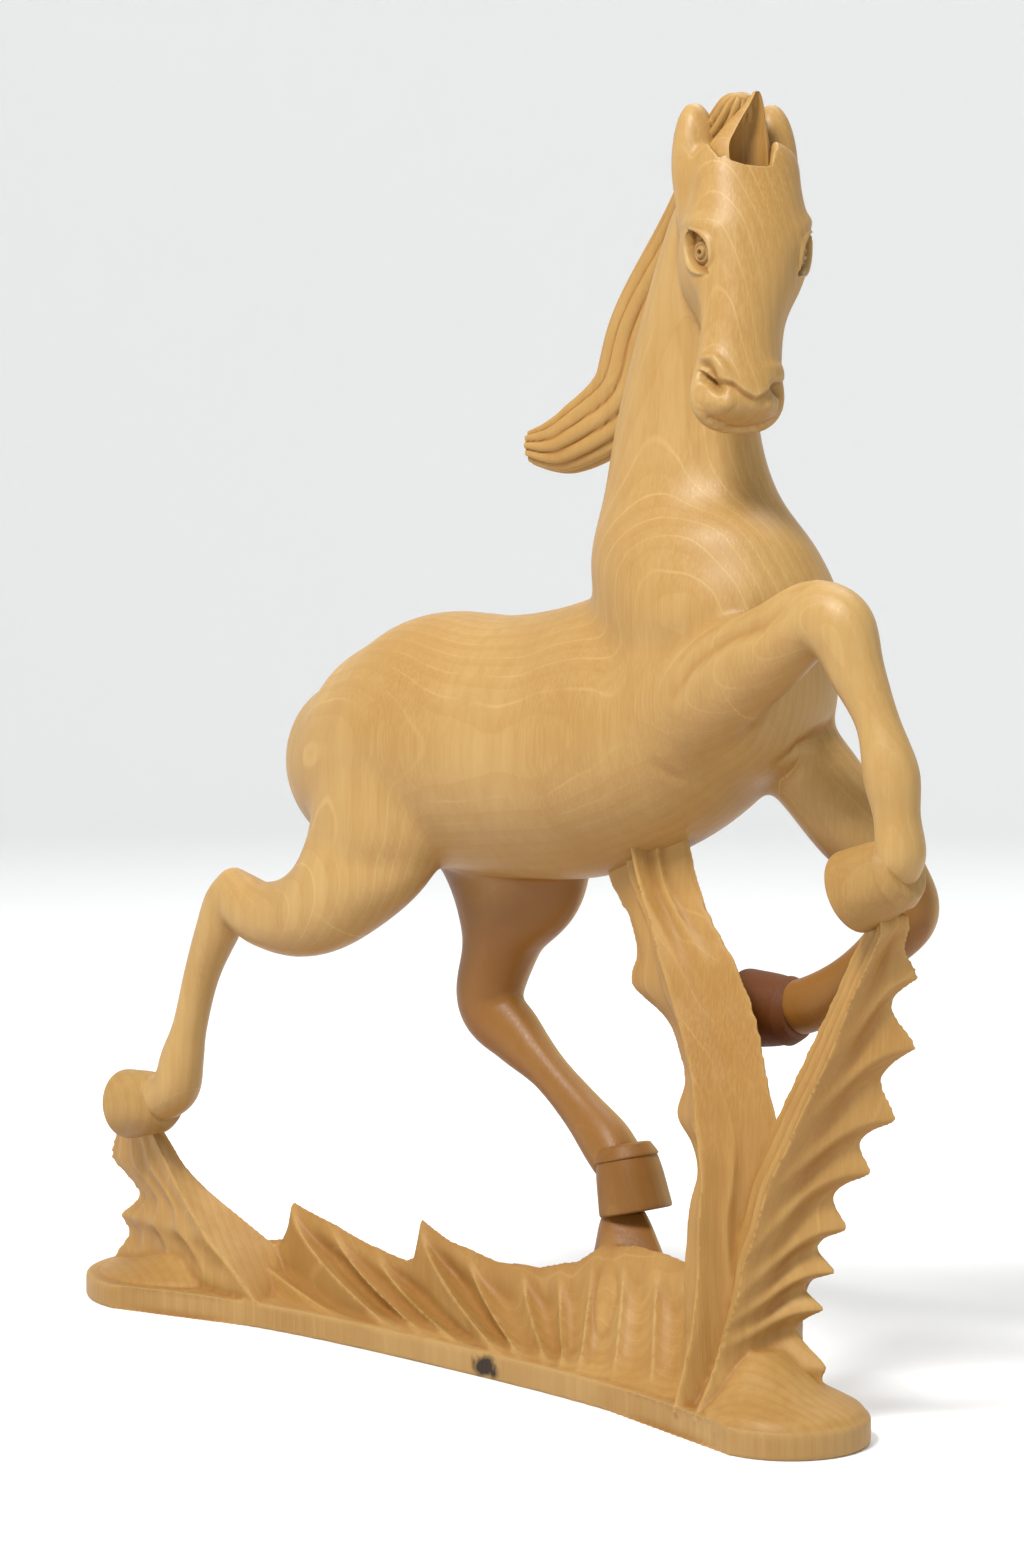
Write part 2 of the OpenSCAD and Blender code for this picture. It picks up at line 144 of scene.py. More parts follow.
def shells(grids):
    """Points and faces of closed skins: quads between neighbouring rings and a fan on each end ring."""
    points, quads, tris, first = [], [], [], 0
    for g in grids:
        n, m = g.shape[:2]
        ends = np.array([g[0].mean(0), g[-1].mean(0)])
        points += [g.reshape(-1, 3), ends]
        quads.append(first + ring_quads(n, m))
        k, j = np.arange(m), (np.arange(m) + 1) % m
        tris.append(first + np.stack([j, k, np.full(m, n * m)], -1))
        tris.append(first + np.stack([(n - 1) * m + k, (n - 1) * m + j, np.full(m, n * m + 1)], -1))
        first += n * m + 2
    return np.vstack(points), np.vstack(quads).tolist() + np.vstack(tris).tolist()


def new_object(name, points, faces):
    """A mesh object at the origin, from points in millimetres."""
    mesh = bpy.data.meshes.new(name)
    mesh.from_pydata((points * MM).tolist(), [], faces)
    mesh.update()
    obj = bpy.data.objects.new(name, mesh)
    bpy.context.scene.collection.objects.link(obj)
    return obj


def volume_of(obj):
    """Signed volume: the sum over triangles of a . (b x c) / 6."""
    mesh = obj.data
    mesh.calc_loop_triangles()
    v = points_of(obj)
    t = np.empty(len(mesh.loop_triangles) * 3, np.int32)
    mesh.loop_triangles.foreach_get("vertices", t)
    a, b, c = (v[t.reshape(-1, 3)[:, i]] for i in range(3))
    return np.einsum("ij,ij->", a, np.cross(b, c)) / 6


def outwards(obj):
    """Turns every face round if the signed volume is negative."""
    if volume_of(obj) < 0:
        obj.data.flip_normals()
    return obj


def points_of(obj):
    """All points of the mesh in millimetres, one row each."""
    v = np.empty(len(obj.data.vertices) * 3, np.float32)
    obj.data.vertices.foreach_get("co", v)
    return v.reshape(-1, 3).astype(float) / MM


def set_points(obj, v):
    """Puts rows of millimetres back into the mesh."""
    obj.data.vertices.foreach_set("co", (v * MM).astype(np.float32).ravel())
    obj.data.update()


def normals_of(obj):
    """The outward direction at each point."""
    n = np.empty(len(obj.data.vertices) * 3, np.float32)
    obj.data.vertices.foreach_get("normal", n)
    return n.reshape(-1, 3).astype(float)


def edges_of(obj):
    """The two ends of each edge."""
    e = np.empty(len(obj.data.edges) * 2, np.int32)
    obj.data.edges.foreach_get("vertices", e)
    return e.reshape(-1, 2)


def relaxed(v, edges, passes, weight=1.0):
    """Each pass moves a point half-way to the mean of its neighbours, times its weight."""
    count = np.bincount(edges.ravel(), minlength=len(v)).astype(float)
    v = v.copy()
    w = np.asarray(weight)[..., None] if np.ndim(weight) else weight
    for _ in range(passes):
        total = np.stack([np.bincount(edges[:, 0], v[edges[:, 1], k], len(v))
                          + np.bincount(edges[:, 1], v[edges[:, 0], k], len(v)) for k in range(3)], -1)
        v += (total / np.maximum(count, 1)[:, None] - v) * 0.5 * w
    return v


def applied(obj):
    """Replaces the object's mesh by its modified one and drops the modifiers."""
    deps = bpy.context.evaluated_depsgraph_get()
    mesh = bpy.data.meshes.new_from_object(obj.evaluated_get(deps))
    obj.modifiers.clear()
    old = obj.data
    obj.data = mesh
    bpy.data.meshes.remove(old)
    return obj


def carved(name, grids, voxel):
    """One skin round overlapping closed skins: a voxel remesh of them all."""
    obj = new_object(name, *shells(grids))
    m = obj.modifiers.new("skin", "REMESH")
    m.mode = "VOXEL"
    m.voxel_size = voxel * MM
    return outwards(applied(obj))


def boolean(obj, cutter, operation):
    """What obj keeps of itself: its share inside the cutter, or outside it."""
    m = obj.modifiers.new("cut", "BOOLEAN")
    m.operation = operation
    m.solver = "MANIFOLD"
    m.object = cutter
    return applied(obj)


def split_off(obj, name, cutter):
    """Makes the part of obj inside cutter a piece of its own, and leaves the rest of obj."""
    piece = obj.copy()
    piece.data = obj.data.copy()
    piece.name = piece.data.name = name
    bpy.context.scene.collection.objects.link(piece)
    boolean(piece, cutter, "INTERSECT")
    boolean(obj, cutter, "DIFFERENCE")
    return piece


BOX_FACES = [[0, 1, 3, 2], [4, 6, 7, 5], [0, 4, 5, 1], [2, 3, 7, 6], [0, 2, 6, 4], [1, 5, 7, 3]]


def block(low, high):
    """A box between two corners."""
    x, y, z = np.meshgrid(*zip(low, high), indexing="ij")
    p = np.stack([x, y, z], -1).reshape(-1, 3).astype(float)
    return outwards(new_object("cutter", p, BOX_FACES))


def wedge_block(origin, ahead, side, size, depth):
    """A box whose near face is centred on origin and that reaches depth along ahead."""
    f = unit(np.asarray(ahead, float))
    s = unit(np.asarray(side, float) - f * np.dot(side, f))
    u = np.cross(f, s)
    corners = [np.asarray(origin) + f * d + s * a * size[0] + u * b * size[1]
               for d in (0, depth) for a in (-1, 1) for b in (-1, 1)]
    return outwards(new_object("cutter", np.array(corners), BOX_FACES))


def drop(obj):
    """Takes a used cutter away."""
    bpy.data.objects.remove(obj, do_unlink=True)


# ---------------------------------------------------------------- forms of the horse
# Stations of the trunk: part of its length, then part of its depth up from the axis, half depth, half width
TRUNK_SHAPE = [
    [-0.012, -0.06, 0.03, 0.04], [0, -0.06, 0.15, 0.17], [0.03, -0.07, 0.26, 0.31],
    [0.117, -0.09, 0.38, 0.45], [0.214, -0.04, 0.44, 0.50], [0.30, 0, 0.49, 0.5],
    [0.44, -0.01, 0.49, 0.5], [0.58, 0.02, 0.5, 0.5], [0.72, 0.12, 0.48, 0.5],
    [0.845, 0.22, 0.40, 0.48], [0.93, 0.24, 0.31, 0.43], [0.975, 0.25, 0.22, 0.33],
    [1, 0.25, 0.09, 0.15]]
CHEST = along_trunk(0.83)
# Stations of the head: part of its length below the poll, forward, to the right, half depth, half width
HEAD_SHAPE = [
    [-0.045, -2, 0.5, 0.13, 0.30], [-0.02, -1.5, 0.5, 0.17, 0.40], [0.05, -1, 0, 0.19, 0.455],
    [0.18, 1, 0, 0.21, 0.48], [0.31, 4, 0.5, 0.22, 0.5], [0.43, 8, 2, 0.20, 0.45],
    [0.57, 13, 4, 0.165, 0.335],
    [0.71, 17, 5.6, 0.135, 0.33], [0.83, 21, 6.6, 0.13, 0.385], [0.91, 23, 7.1, 0.11, 0.32],
    [0.95, 24, 7.3, 0.05, 0.18]]


def trunk_form():
    """Rings square to a level axis: the barrel, from the buttock to the chest."""
    return tube([[along_trunk(p), 0, up_trunk(z), BODY_DEPTH * d, BODY_WIDTH * w]
                 for p, z, d, w in TRUNK_SHAPE], around=72)


def neck_form():
    """Level rings from inside the chest up to the poll, narrowing as they rise."""
    c, n, p = CHEST, HALF_NECK, POLL
    low = up_trunk(0.92)
    rise = p[2] - low
    return tube([
        [c - 8, 0, up_trunk(0.22), 34, 24], [c, 0, up_trunk(0.49), 40, 28],
        [c - 4, 0, up_trunk(0.70), 38, n * 1.7], [c - 9.5, 0, low, 29.5, n * 1.22],
        [c - 11, 0, low + rise * 0.21, 24.5, n], [c - 8, 0, low + rise * 0.42, 22, n * 0.9],
        [p[0] - 16.5, 0, low + rise * 0.65, 17.5, n * 0.82],
        [p[0] - 9.5, -1, low + rise * 0.87, 14.5, n * 0.76],
        [p[0] - 4, -2, low + rise * 0.99, 9, n * 0.66]], around=64, level=True)


def head_form():
    """Squarish rings down from the crown to the lips, each moved forward and right from the poll."""
    rows = []
    for part, forward, right, deep, wide in HEAD_SHAPE:
        at = POLL + FACE * forward - FACE_SIDE * right
        rows.append([at[0], at[1], POLL[2] - HEAD_LENGTH * part, HEAD_LENGTH * deep, HEAD_WIDTH * wide])
    return tube(rows, side=FACE_SIDE, around=56, power=2.3)


def head_place(forward, left, z):
    """A place given from the poll: forward along the face, to the horse's left, and its height."""
    at = POLL + FACE * forward + FACE_SIDE * left
    return np.array([at[0], at[1], z])


# Stations of an ear: forward, how much of the lean, height, half depth, half width
EAR_SHAPE = [
    [-3, 0, 338, 4, 3.2], [-5, 0, 348, 6.0, 4.2], [-6, 0.1, 356, 6.8, 5.0],
    [-7, 0.35, 364, 6.2, 4.9], [-8, 0.75, 370.5, 4.9, 4.0], [-8.5, 1.0, 374.6, 2.3, 2.0]]


def ear_form(left, lean, root):
    """A tube up through an ear's stations, moved by lean towards its tip and widened by root at its foot,
    on the side of the forelock."""
    rows = []
    for forward, part, z, deep, wide in EAR_SHAPE:
        more = root * (1 - part)
        inwards = more if left < 0 else -more
        rows.append([*head_place(forward, left + lean * part + inwards, z), deep, wide + more])
    return tube(rows, side=FACE_SIDE, power=2.4)


def right_foreleg_form():
    """A tube from the shoulder forward to the raised knee, then down to the fetlock."""
    f = RIGHT_FORE_FOOT
    s = [CHEST, -16.5, up_trunk(0.16)]
    return tube([
        [s[0], s[1], s[2], 19, 11], [s[0] + 19, -21, s[2] + 7, 16, 10.5],
        [f[0] - 42, -24, f[2] + 59, 13, 9.5], [f[0] - 24, -25, f[2] + 69, 10.5, 8.5],
        [f[0] - 14, -25, f[2] + 66, 10, 8.5], [f[0] - 8, -25, f[2] + 55, 8, 7],
        [f[0] - 1, -25, f[2] + 42, CANNON + 0.4, CANNON], [f[0] + 3.8, -25, f[2] + 28, 8.1, 7],
        [f[0] + 5.8, -25, f[2] + 17, 6.6, 6], [f[0] + 7, -25, f[2] + 7, 7, 7],
        [f[0] + 4, -24.5, f[2] + 1, 6, 6]])


def left_foreleg_form():
    """A tube from the shoulder forward and down to the knee, then folded back to the fetlock."""
    f = LEFT_FORE_FOOT
    s = [CHEST, 12, up_trunk(0.14)]
    return tube([
        [s[0], s[1], s[2], 18, 11], [s[0] + 18, 15, s[2] - 11, 14, 11],
        [f[0] + 28, 17, f[2] + 54.5, 13, 10], [f[0] + 43, 18, f[2] + 41, 9, 8],
        [f[0] + 47, 18, f[2] + 31, 8.5, 8], [f[0] + 38, 18, f[2] + 21, 7, 7],
        [f[0] + 26, 18, f[2] + 12, CANNON + 0.5, CANNON], [f[0] + 15, 17, f[2] + 4, 8, 7.5],
        [f[0] + 7, 16, f[2] + 1, 8, 8]])


def right_hind_leg_form():
    """A tube from the hip back to the hock, then down to the fetlock, stretched out behind."""
    f = RIGHT_HIND_FOOT
    h = [along_trunk(0.25), -15, up_trunk(-0.12)]
    return tube([
        [h[0], h[1], h[2], 31, 15], [h[0] - 5, -18, h[2] - 20, 26, 14.5],
        [h[0] - 18, -22, h[2] - 38, 17.5, 13], [h[0] - 33, -24, h[2] - 46, 13.5, 11],
        [f[0] + 59, -25, f[2] + 67, 10.5, 9], [f[0] + 45, -25, f[2] + 71, 9, 7.5],
        [f[0] + 37, -25, f[2] + 60, 7.6, 6.8], [f[0] + 29, -25, f[2] + 45, CANNON + 0.3, CANNON],
        [f[0] + 23, -25, f[2] + 28, CANNON, CANNON], [f[0] + 19, -25, f[2] + 17, 7.5, 7],
        [f[0] + 15, -24.5, f[2] + 7, 8, 8], [f[0] + 6, -24, f[2] + 2, 8, 8]])


def left_hind_leg_form():
    """A tube from the hip down to the hock, then forward to the fetlock under the belly."""
    f = LEFT_HIND_FOOT
    h = [along_trunk(0.36), 12, up_trunk(-0.2)]
    return tube([
        [h[0], h[1], h[2], 34, 15], [h[0] + 1, 13, h[2] - 25, 31, 13],
        [h[0] - 5, 15, h[2] - 47, 14, 11], [h[0] - 10, 15, h[2] - 66, 11.5, 9],
        [f[0] - 51, 15, f[2] + 37, 9.5, 7.5], [f[0] - 36, 14, f[2] + 27.5, CANNON + 0.8, CANNON],
        [f[0] - 22.5, 14, f[2] + 17.5, CANNON + 1.2, CANNON + 0.5],
        [f[0] - 11, 13, f[2] + 9, 8.5, 7.5], [f[0] - 4, 12, f[2] + 3, 8, 8]])


# ---------------------------------------------------------------- the body, one skin, then its pieces
def from_path(v, path):
    """Distance of every point from a polyline, and the part of its length at the nearest place."""
    path = np.asarray(path, float)
    lengths = np.linalg.norm(np.diff(path, axis=0), axis=1)
    total, gone = lengths.sum(), 0.0
    best, part = np.full(len(v), 1e9), np.zeros(len(v))
    for a, b, length in zip(path[:-1], path[1:], lengths):
        t = np.clip((v - a) @ (b - a) / length ** 2, 0, 1)
        d = np.linalg.norm(v - a - t[:, None] * (b - a), axis=1)
        near = d < best
        best = np.where(near, d, best)
        part = np.where(near, (gone + t * length) / total, part)
        gone += length
    return best, part


def cut_along(v, n, path, width, depth):
    """Moves points against their normals by depth*exp(-(distance/width)^2), fading out at both ends."""
    d, part = from_path(v, path)
    fade = np.sin(math.pi * np.clip(0.08 + part * 0.84, 0, 1)) ** 0.5
    return v - n * (depth * np.exp(-(d / width) ** 2) * fade)[:, None]


def swell(v, n, centre, radii, height):
    """Moves points along their normals by height*exp(-q), q the squared distance in the given radii."""
    q = (((v - np.asarray(centre)) / np.asarray(radii)) ** 2).sum(1)
    return v + n * (height * np.exp(-q))[:, None]


# Lines and swellings of the trunk, chest and legs: path, width, depth; a negative depth is a ridge
BODY_CUTS = [
    ([(112, -31, 209), (118.4, -31, 216.3), (127, -31.4, 222), (136, -32, 226), (146, -33, 228),
      (153, -32, 233), (157, -30, 238)], 2.8, 1.6),
    ([(72.4, -19.5, 234.4), (80.4, -24.5, 223), (88.2, -29, 209), (91, -29, 196.5), (94, -25, 185)], 9, 1.2),
    ([(127.8, -3.6, 189.3), (131, 1.2, 194), (130.7, 14.7, 200)], 2.0, 1.6),
    ([(102, -13, 277), (110, -10, 268), (118.5, -6, 262)], 10, 1.6),
    ([(92, -23, 246), (105.5, -21, 251.5), (121.5, -14, 254), (131, -4, 250)], 8, -1.2),
    ([(99.8, -24.8, 188.2), (107.4, -18.5, 184)], 2.0, 0.5),
    ([(-40, -31, 160), (-20, -30, 154), (-4, -27, 153)], 6, 1.6),
    ([(165, -33, 205), (173, -33, 196), (181, -33, 184)], 2.6, 0.8),
    ([(186, -19, 166), (184, -25, 164), (182, -31, 166)], 2.4, 1.0),
    ([(28, -20, 156), (58, -20, 158), (84, -16, 163)], 9, 0.8)]
BODY_SWELLS = [
    ((48, -29, 184), (46, 30, 24), 2.0), ((-16, -30, 196), (28, 20, 26), 1.6),
    ((-84, -25, 148), (4, 7, 3.5), 1.6), ((174, -25, 234), (8, 7, 8), 0.7),
    ((48, 29, 184), (46, 30, 24), 1.5), ((-16, 30, 196), (28, 20, 26), 1.2),
    ((118, -25, 232), (16, 9, 9), 1.0)]


def dressed_body(v, n):
    """Every cut and then every swelling of the body, one after the other, along the same normals."""
    for path, width, depth in BODY_CUTS:
        v = cut_along(v, n, path, width, depth)
    for centre, radii, height in BODY_SWELLS:
        v = swell(v, n, centre, radii, height)
    return v


EYE_TURN = math.radians(58)
EYE_HEIGHT = 331.0
EYE_SLOPE = np.array([0.62, 0.78])
EYE_HALF_LENGTH = 8.2
EYE_HALF_OPENING = 3.9
SOCKET_DEPTH = 3.0
LID_HEIGHT = 0.8


def eye_frame(side):
    """Middle of an eye on the skin, its outward axis, the axis of its slant and the axis across it."""
    out = FACE * math.cos(EYE_TURN) + FACE_SIDE * math.sin(EYE_TURN) * side
    ahead = FACE * math.sin(EYE_TURN) - FACE_SIDE * math.cos(EYE_TURN) * side
    slant = unit(ahead * EYE_SLOPE[0] - np.array([0, 0, EYE_SLOPE[1]]))
    return head_place(12.4, 14.9 * side - 0.4, EYE_HEIGHT), out, slant, np.cross(out, slant)


def face_cut(v, n, here, path, width, depth):
    """As cut_along, for a path [left, height] laid on the front of the face."""
    flat = np.stack([(v - POLL) @ FACE_SIDE, v[:, 2]], -1)
    d, part = from_path(flat, path)
    fade = np.sin(math.pi * np.clip(0.10 + part * 0.80, 0, 1)) ** 0.5
    return v - n * (depth * np.exp(-(d / width) ** 2) * fade * here)[:, None]


# Lower edge of the nose cap, upper edge of the forehead: [left, height]
NOSE_CAP = np.array([[-19, 299], [-16.5, 297], [-13.3, 295.3], [-9.8, 294.4], [-7, 291.9], [-3.6, 290.0],
                     [-0.4, 292.0], [3.0, 295.0], [6.0, 295.2], [8, 296]])
FOREHEAD = np.array([[-13, 366], [-10.2, 362.5], [-8.6, 358.8], [-6.4, 356.4], [-3, 355.2], [1, 354.7],
                     [4.6, 354.8], [6, 358]])


def dressed_head(v, n):
    """Brows, cheeks, nose cap, nostrils and lips as cuts and swellings; a socket sinks where the place
    across the eye is under opening*(1 - (along/half length)^2), with a lid round it; the crown behind the
    forehead is cut down to a floor."""
    forward = (v - POLL) @ FACE
    left = (v - POLL) @ FACE_SIDE
    z = v[:, 2].copy()
    front = smooth_step(n @ FACE, 0.05, 0.35) * smooth_step(forward, 8, 13)
    for side in (-1, 1):
        v = cut_along(v, n, [head_place(2, 17 * side, 340), head_place(10, 15.5 * side, 340),
                             head_place(15, 11 * side, 336.5), head_place(17, 7.5 * side, 329)], 2.4, -1.3)
        v = swell(v, n, head_place(3, 16 * side, 349), (6, 6, 6), -1.0)
        v = swell(v, n, head_place(16.5, 8.6 * side, 327.5), (3.4, 3.4, 3.6), -1.1)
        v = cut_along(v, n, [head_place(13, 14.5 * side - 1, 322), head_place(16, 11.5 * side - 2, 312),
                             head_place(20, 10.5 * side - 4, 302)], 2.4, -0.9)
        v = swell(v, n, head_place(9, 13.5 * side - 2, 313), (7, 7, 9), -1.4)
        v = swell(v, n, head_place(-2, 16 * side, 323), (8, 8, 9), 1.3)
        centre, out, slant, across = eye_frame(side)
        d = v - centre
        along, over = d @ slant, d @ across
        opening = EYE_HALF_OPENING * (1 - (along / EYE_HALF_LENGTH) ** 2)
        inside = 1 - np.abs(over) / np.maximum(opening, 0.05)
        facing = (n @ out > 0.2) & (np.abs(d @ out) < 7)
        socket = np.where(facing & (np.abs(along) < EYE_HALF_LENGTH), smooth_step(inside, -0.03, 0.22), 0)
        lid = np.where(facing & (np.abs(along) < 9), np.exp(-((inside + 0.28) / 0.26) ** 2), 0)
        v = v - out * (SOCKET_DEPTH * socket)[:, None] + n * (LID_HEIGHT * lid)[:, None]
    # the nose cap stands proud of the lips; a nostril opens under each end of it
    below = smooth_step(np.interp(left, *NOSE_CAP.T) - z, -0.3, 0.6) * smooth_step(z, 274, 281)
    v = v - n * (1.7 * below * front)[:, None]
    v = face_cut(v, n, front, [(-16.2, 299), (-15.4, 295.5), (-13.4, 292.5)], 1.4, 4.2)
    v = face_cut(v, n, front, [(2.6, 293.6), (4.8, 292.0)], 1.3, 3.4)
    v = face_cut(v, n, front, [(-17.4, 301), (-14.4, 301.2), (-12.2, 297.5)], 1.4, -0.9)
    v = face_cut(v, n, front, [(1.5, 299), (4.6, 298.5), (6.0, 296)], 1.4, -0.8)
    v = face_cut(v, n, front, [(-12.2, 290), (-10.2, 287.2)], 2.6, -1.2)
    v = face_cut(v, n, front, [(-1.0, 289.2), (1.2, 286.8)], 2.4, -1.2)
    v = face_cut(v, n, front, [(-15, 284.6), (-10, 282.2), (-5.5, 281.6), (-1, 282.4), (3, 284.4)], 0.7, 1.2)
    # the forehead ends in a crisp edge, and the hollow of the forelock dips behind it
    edge = np.interp(left, *FOREHEAD.T)
    floor = edge - 4.0 * smooth_step(forward, 1, 3) * (1 - smooth_step(forward, 10.2, 11.2))
    inside = smooth_step(left, -12, -10) * (1 - smooth_step(left, 3.6, 7.6)) * smooth_step(forward, 0, 2.5)
    v[:, 2] -= np.maximum(v[:, 2] - floor, 0) * inside
    return v


def crown_refined(body):
    """Splits every edge of the head once, so that the fine cuts there are crisp."""
    mesh = bmesh.new()
    mesh.from_mesh(body.data)
    low = 276 * MM
    edges = [e for e in mesh.edges
             if min(e.verts[0].co.z, e.verts[1].co.z) > low
             and (max(e.verts[0].co.x, e.verts[1].co.x) > 0.102)]
    bmesh.ops.subdivide_edges(mesh, edges=edges, cuts=1, use_grid_fill=True)
    mesh.to_mesh(body.data)
    mesh.free()
    body.data.update()


def paint(obj, name, values):
    """Keeps one number for each point under a name that the materials read."""
    layer = obj.data.attributes.new(name, "FLOAT", "POINT")
    layer.data.foreach_set("value", values.astype(np.float32))


def painted_shade(obj):
    """Painted shade: darker colour on undersides, and below the barrel on the faces of the far legs that
    look inwards, where shade falls. Each is a product of soft steps in place and direction."""
    v, n = points_of(obj), normals_of(obj)
    inner = smooth_step(v[:, 1], -3, 3) * smooth_step(-n[:, 1], -0.5, 0.3)
    inner = inner * (1 - smooth_step(v[:, 2], 157, 172))
    under = smooth_step(-n[:, 2], -0.1, 1.0) * smooth_step(v[:, 2], 3, 30)
    # painted shade: undersides and the inward faces of the far legs are darkened where shade falls
    paint(obj, "painted_shade", np.clip(0.85 * inner + 0.55 * under, 0, 1))


def hollow_shade_and_edge_light(obj, passes, full):
    """How far each point lies below its relaxed neighbourhood, over full: -1 on edges, 1 in hollows; the
    wood paints shade into the hollows and a highlight onto the edges from it.
    """
    v, e, n = points_of(obj), edges_of(obj), normals_of(obj)
    depth = ((relaxed(v, e, passes) - v) * n).sum(1) / full
    paint(obj, "hollow", np.clip(depth, -1, 1))


def make_body():
    """The horse's skin: the forms joined, relaxed more where they flow into each other, then carved."""
    grids = [trunk_form(), neck_form(), head_form(), ear_form(-14.4, 1.8, 2.4), ear_form(12.4, -2.6, 1.8),
             right_foreleg_form(), left_foreleg_form(), right_hind_leg_form(), left_hind_leg_form()]
    body = carved("trunk", grids, VOXEL_BODY)
    v, e = points_of(body), edges_of(body)
    broad = smooth_step(v[:, 2], 130, 165) * (1 - smooth_step(v[:, 2], 305, 330))
    broad *= 1 - smooth_step(v[:, 0], 140, 155)
    v = relaxed(v, e, int(34 * (1.1 / VOXEL_BODY) ** 2), 0.10 + 0.90 * broad)
    v = relaxed(v, e, 3)
    set_points(body, v)
    set_points(body, dressed_body(v, normals_of(body)))
    crown_refined(body)
    set_points(body, dressed_head(points_of(body), normals_of(body)))
    v, e = points_of(body), edges_of(body)
    fine = smooth_step(v[:, 2], 285, 300) * smooth_step(v[:, 0], 96, 104)
    set_points(body, relaxed(v, e, 2, 1 - 0.7 * fine))
    # painted shade in hollows and a painted highlight on edges, from how far each point lies below its
    # neighbours
    hollow_shade_and_edge_light(body, 10, 0.30)
    # painted shade on undersides and on the far legs' inner faces
    painted_shade(body)
    return body


def prism(outline, low_y, high_y):
    """A block with an outline in length and height, from one place across to another."""
    n = len(outline)
    p = np.array([[x, y, z] for y in (low_y, high_y) for x, z in outline], float)
    sides = [[i, (i + 1) % n, n + (i + 1) % n, n + i] for i in range(n)]
    return outwards(new_object("cutter", p, sides + [list(range(n))[::-1], list(range(n, 2 * n))]))


# Where the skin is parted into its pieces: outline in length and height, and the span across
BODY_PARTS = {
    "right_foreleg": (
        [(124, 228), (134, 203), (152, 188), (165, 148), (207, 148), (207, 252), (136, 252)], -45, -15.6),
    "left_foreleg": (
        [(113, 172), (134, 200), (178, 192), (178, 98), (98, 98), (112, 150)], 3.5, 33),
    "right_hind_leg": ([(-61, 164), (-22, 126), (-60, 98), (-145, 52), (-145, 170)], -46, -8),
    "left_hind_leg": ([(-42, 150), (46, 150), (84, 58), (-42, 58)], -3, 33)}
BASE_PARTS = {
    "rear_plume": ([(-176, 8), (-176, 75), (-96, 75), (-96, 30), (-86, 8)], -45, 45),
    "front_plume": ([(122, 8), (124, 60), (134.5, 97), (150, 165), (205, 165), (205, 8)], -45, 45),
    "belly_post": (
        [(96, 8), (92, 60), (84, 100), (60, 130), (48, 182), (118, 182), (134.5, 97), (124, 60), (122, 8)],
        -45, 45),
    "hoof_wedge": ([(44, 26), (46, 58), (74, 58), (80, 34), (76, 26)], -45, 45)}


def part_skin(skin, parts):
    """Parts a skin along its cutting blocks and returns the pieces by name."""
    pieces = {}
    for name, (outline, low_y, high_y) in parts.items():
        cutter = prism(outline, low_y, high_y)
        pieces[name] = split_off(skin, name, cutter)
        drop(cutter)
    return pieces


def part_head(body):
    """Ears, head and neck, each parted by a block, in that order."""
    pieces = {}
    cutters = {
        "right_ear": wedge_block(head_place(-6, -9.9, 380), -FACE_SIDE, FACE, (20, 21.5), 30),
        "left_ear": wedge_block(head_place(-6, 7.6, 380), FACE_SIDE, FACE, (20, 21.5), 30),
        "head": wedge_block(head_place(-1, 0, 328), FACE * 0.973 + np.array([0, 0, 0.23]), FACE_SIDE,
                            (34, 62), 70),
        "neck": wedge_block([95, 0, 241], [-0.2, 0, 1], ACROSS, (60, 75), 200)}
    for name, cutter in cutters.items():
        pieces[name] = split_off(body, name, cutter)
        drop(cutter)
    return pieces


def make_eyeball(name, side):
    """A ball turned about the eye's axis, with a ring cut round its middle and a drilled pupil:
    height = sqrt(R^2 - r^2) - ring*exp(-((r - ring place)/width)^2) - pupil where r is small."""
    centre, out, slant, across = eye_frame(side)
    radius = 4.5
    a = np.linspace(0, math.pi * 0.5, 60)[1:]
    r = radius * np.sin(a)
    h = radius * np.cos(a)
    h = h - 0.55 * np.exp(-((r - 2.0) / 0.30) ** 2) - 1.5 * (1 - smooth_step(r, 0.50, 0.85))
    h = np.append(h, [-1.5, -1.5])
    r = np.append(r, [radius, 0.3])
    turn = np.linspace(0, 2 * math.pi, 72, endpoint=False)
    seat = centre - out * (radius - 0.55)
    g = (seat + out * h[:, None, None] + slant * (r[:, None] * np.cos(turn))[..., None]
         + across * (r[:, None] * np.sin(turn))[..., None])
    return outwards(new_object(name, *shells([g])))


# Profile of a hoof: place along its axis, and part of its radius
HOOF_SHAPE = [
    (9.5, 0.30), (9.2, 0.66), (8, 0.76), (5.4, 0.88), (5, 0.84), (4, 0.86), (0, 0.92),
    (-6, 0.97), (-10, 1.0), (-11, 0.97), (-11.2, 0.85), (-11.0, 0.3)]


def hoof_form(foot, tilt):
    """The hoof's profile carried round its tilted axis: a drum that widens from the coronet to the sole."""
    along = np.array([math.sin(math.radians(tilt)), 0, math.cos(math.radians(tilt))])
    rows = []
    for at, radius in HOOF_SHAPE:
        p = foot + along * at
        rows.append([p[0], p[1], p[2], HOOF_RADIUS * radius, HOOF_RADIUS * radius * 0.93])
    return tube(rows, around=72, steps=4)


def make_hoof(name, foot, tilt):
    """A hoof's drum as an object, with painted shade on its undersides."""
    hoof = outwards(new_object(name, *shells([hoof_form(foot, tilt)])))
    # painted shade on the hoof's undersides
    painted_shade(hoof)
    return hoof


# ---------------------------------------------------------------- base
REAR_END = -168.9
END_RADIUS = 38.0
REAR_CENTRE = REAR_END + END_RADIUS
LOBE = np.array([138.0, -12.0])
LOBE_RADIUS = 24.0
WAIST = 20.0


def base_half(x, end, far):
    """Half width between the waist, where x is 0, and an end: waist + (end - waist) * |x / far|^3."""
    return WAIST + (end - WAIST) * np.abs(x / far) ** 3


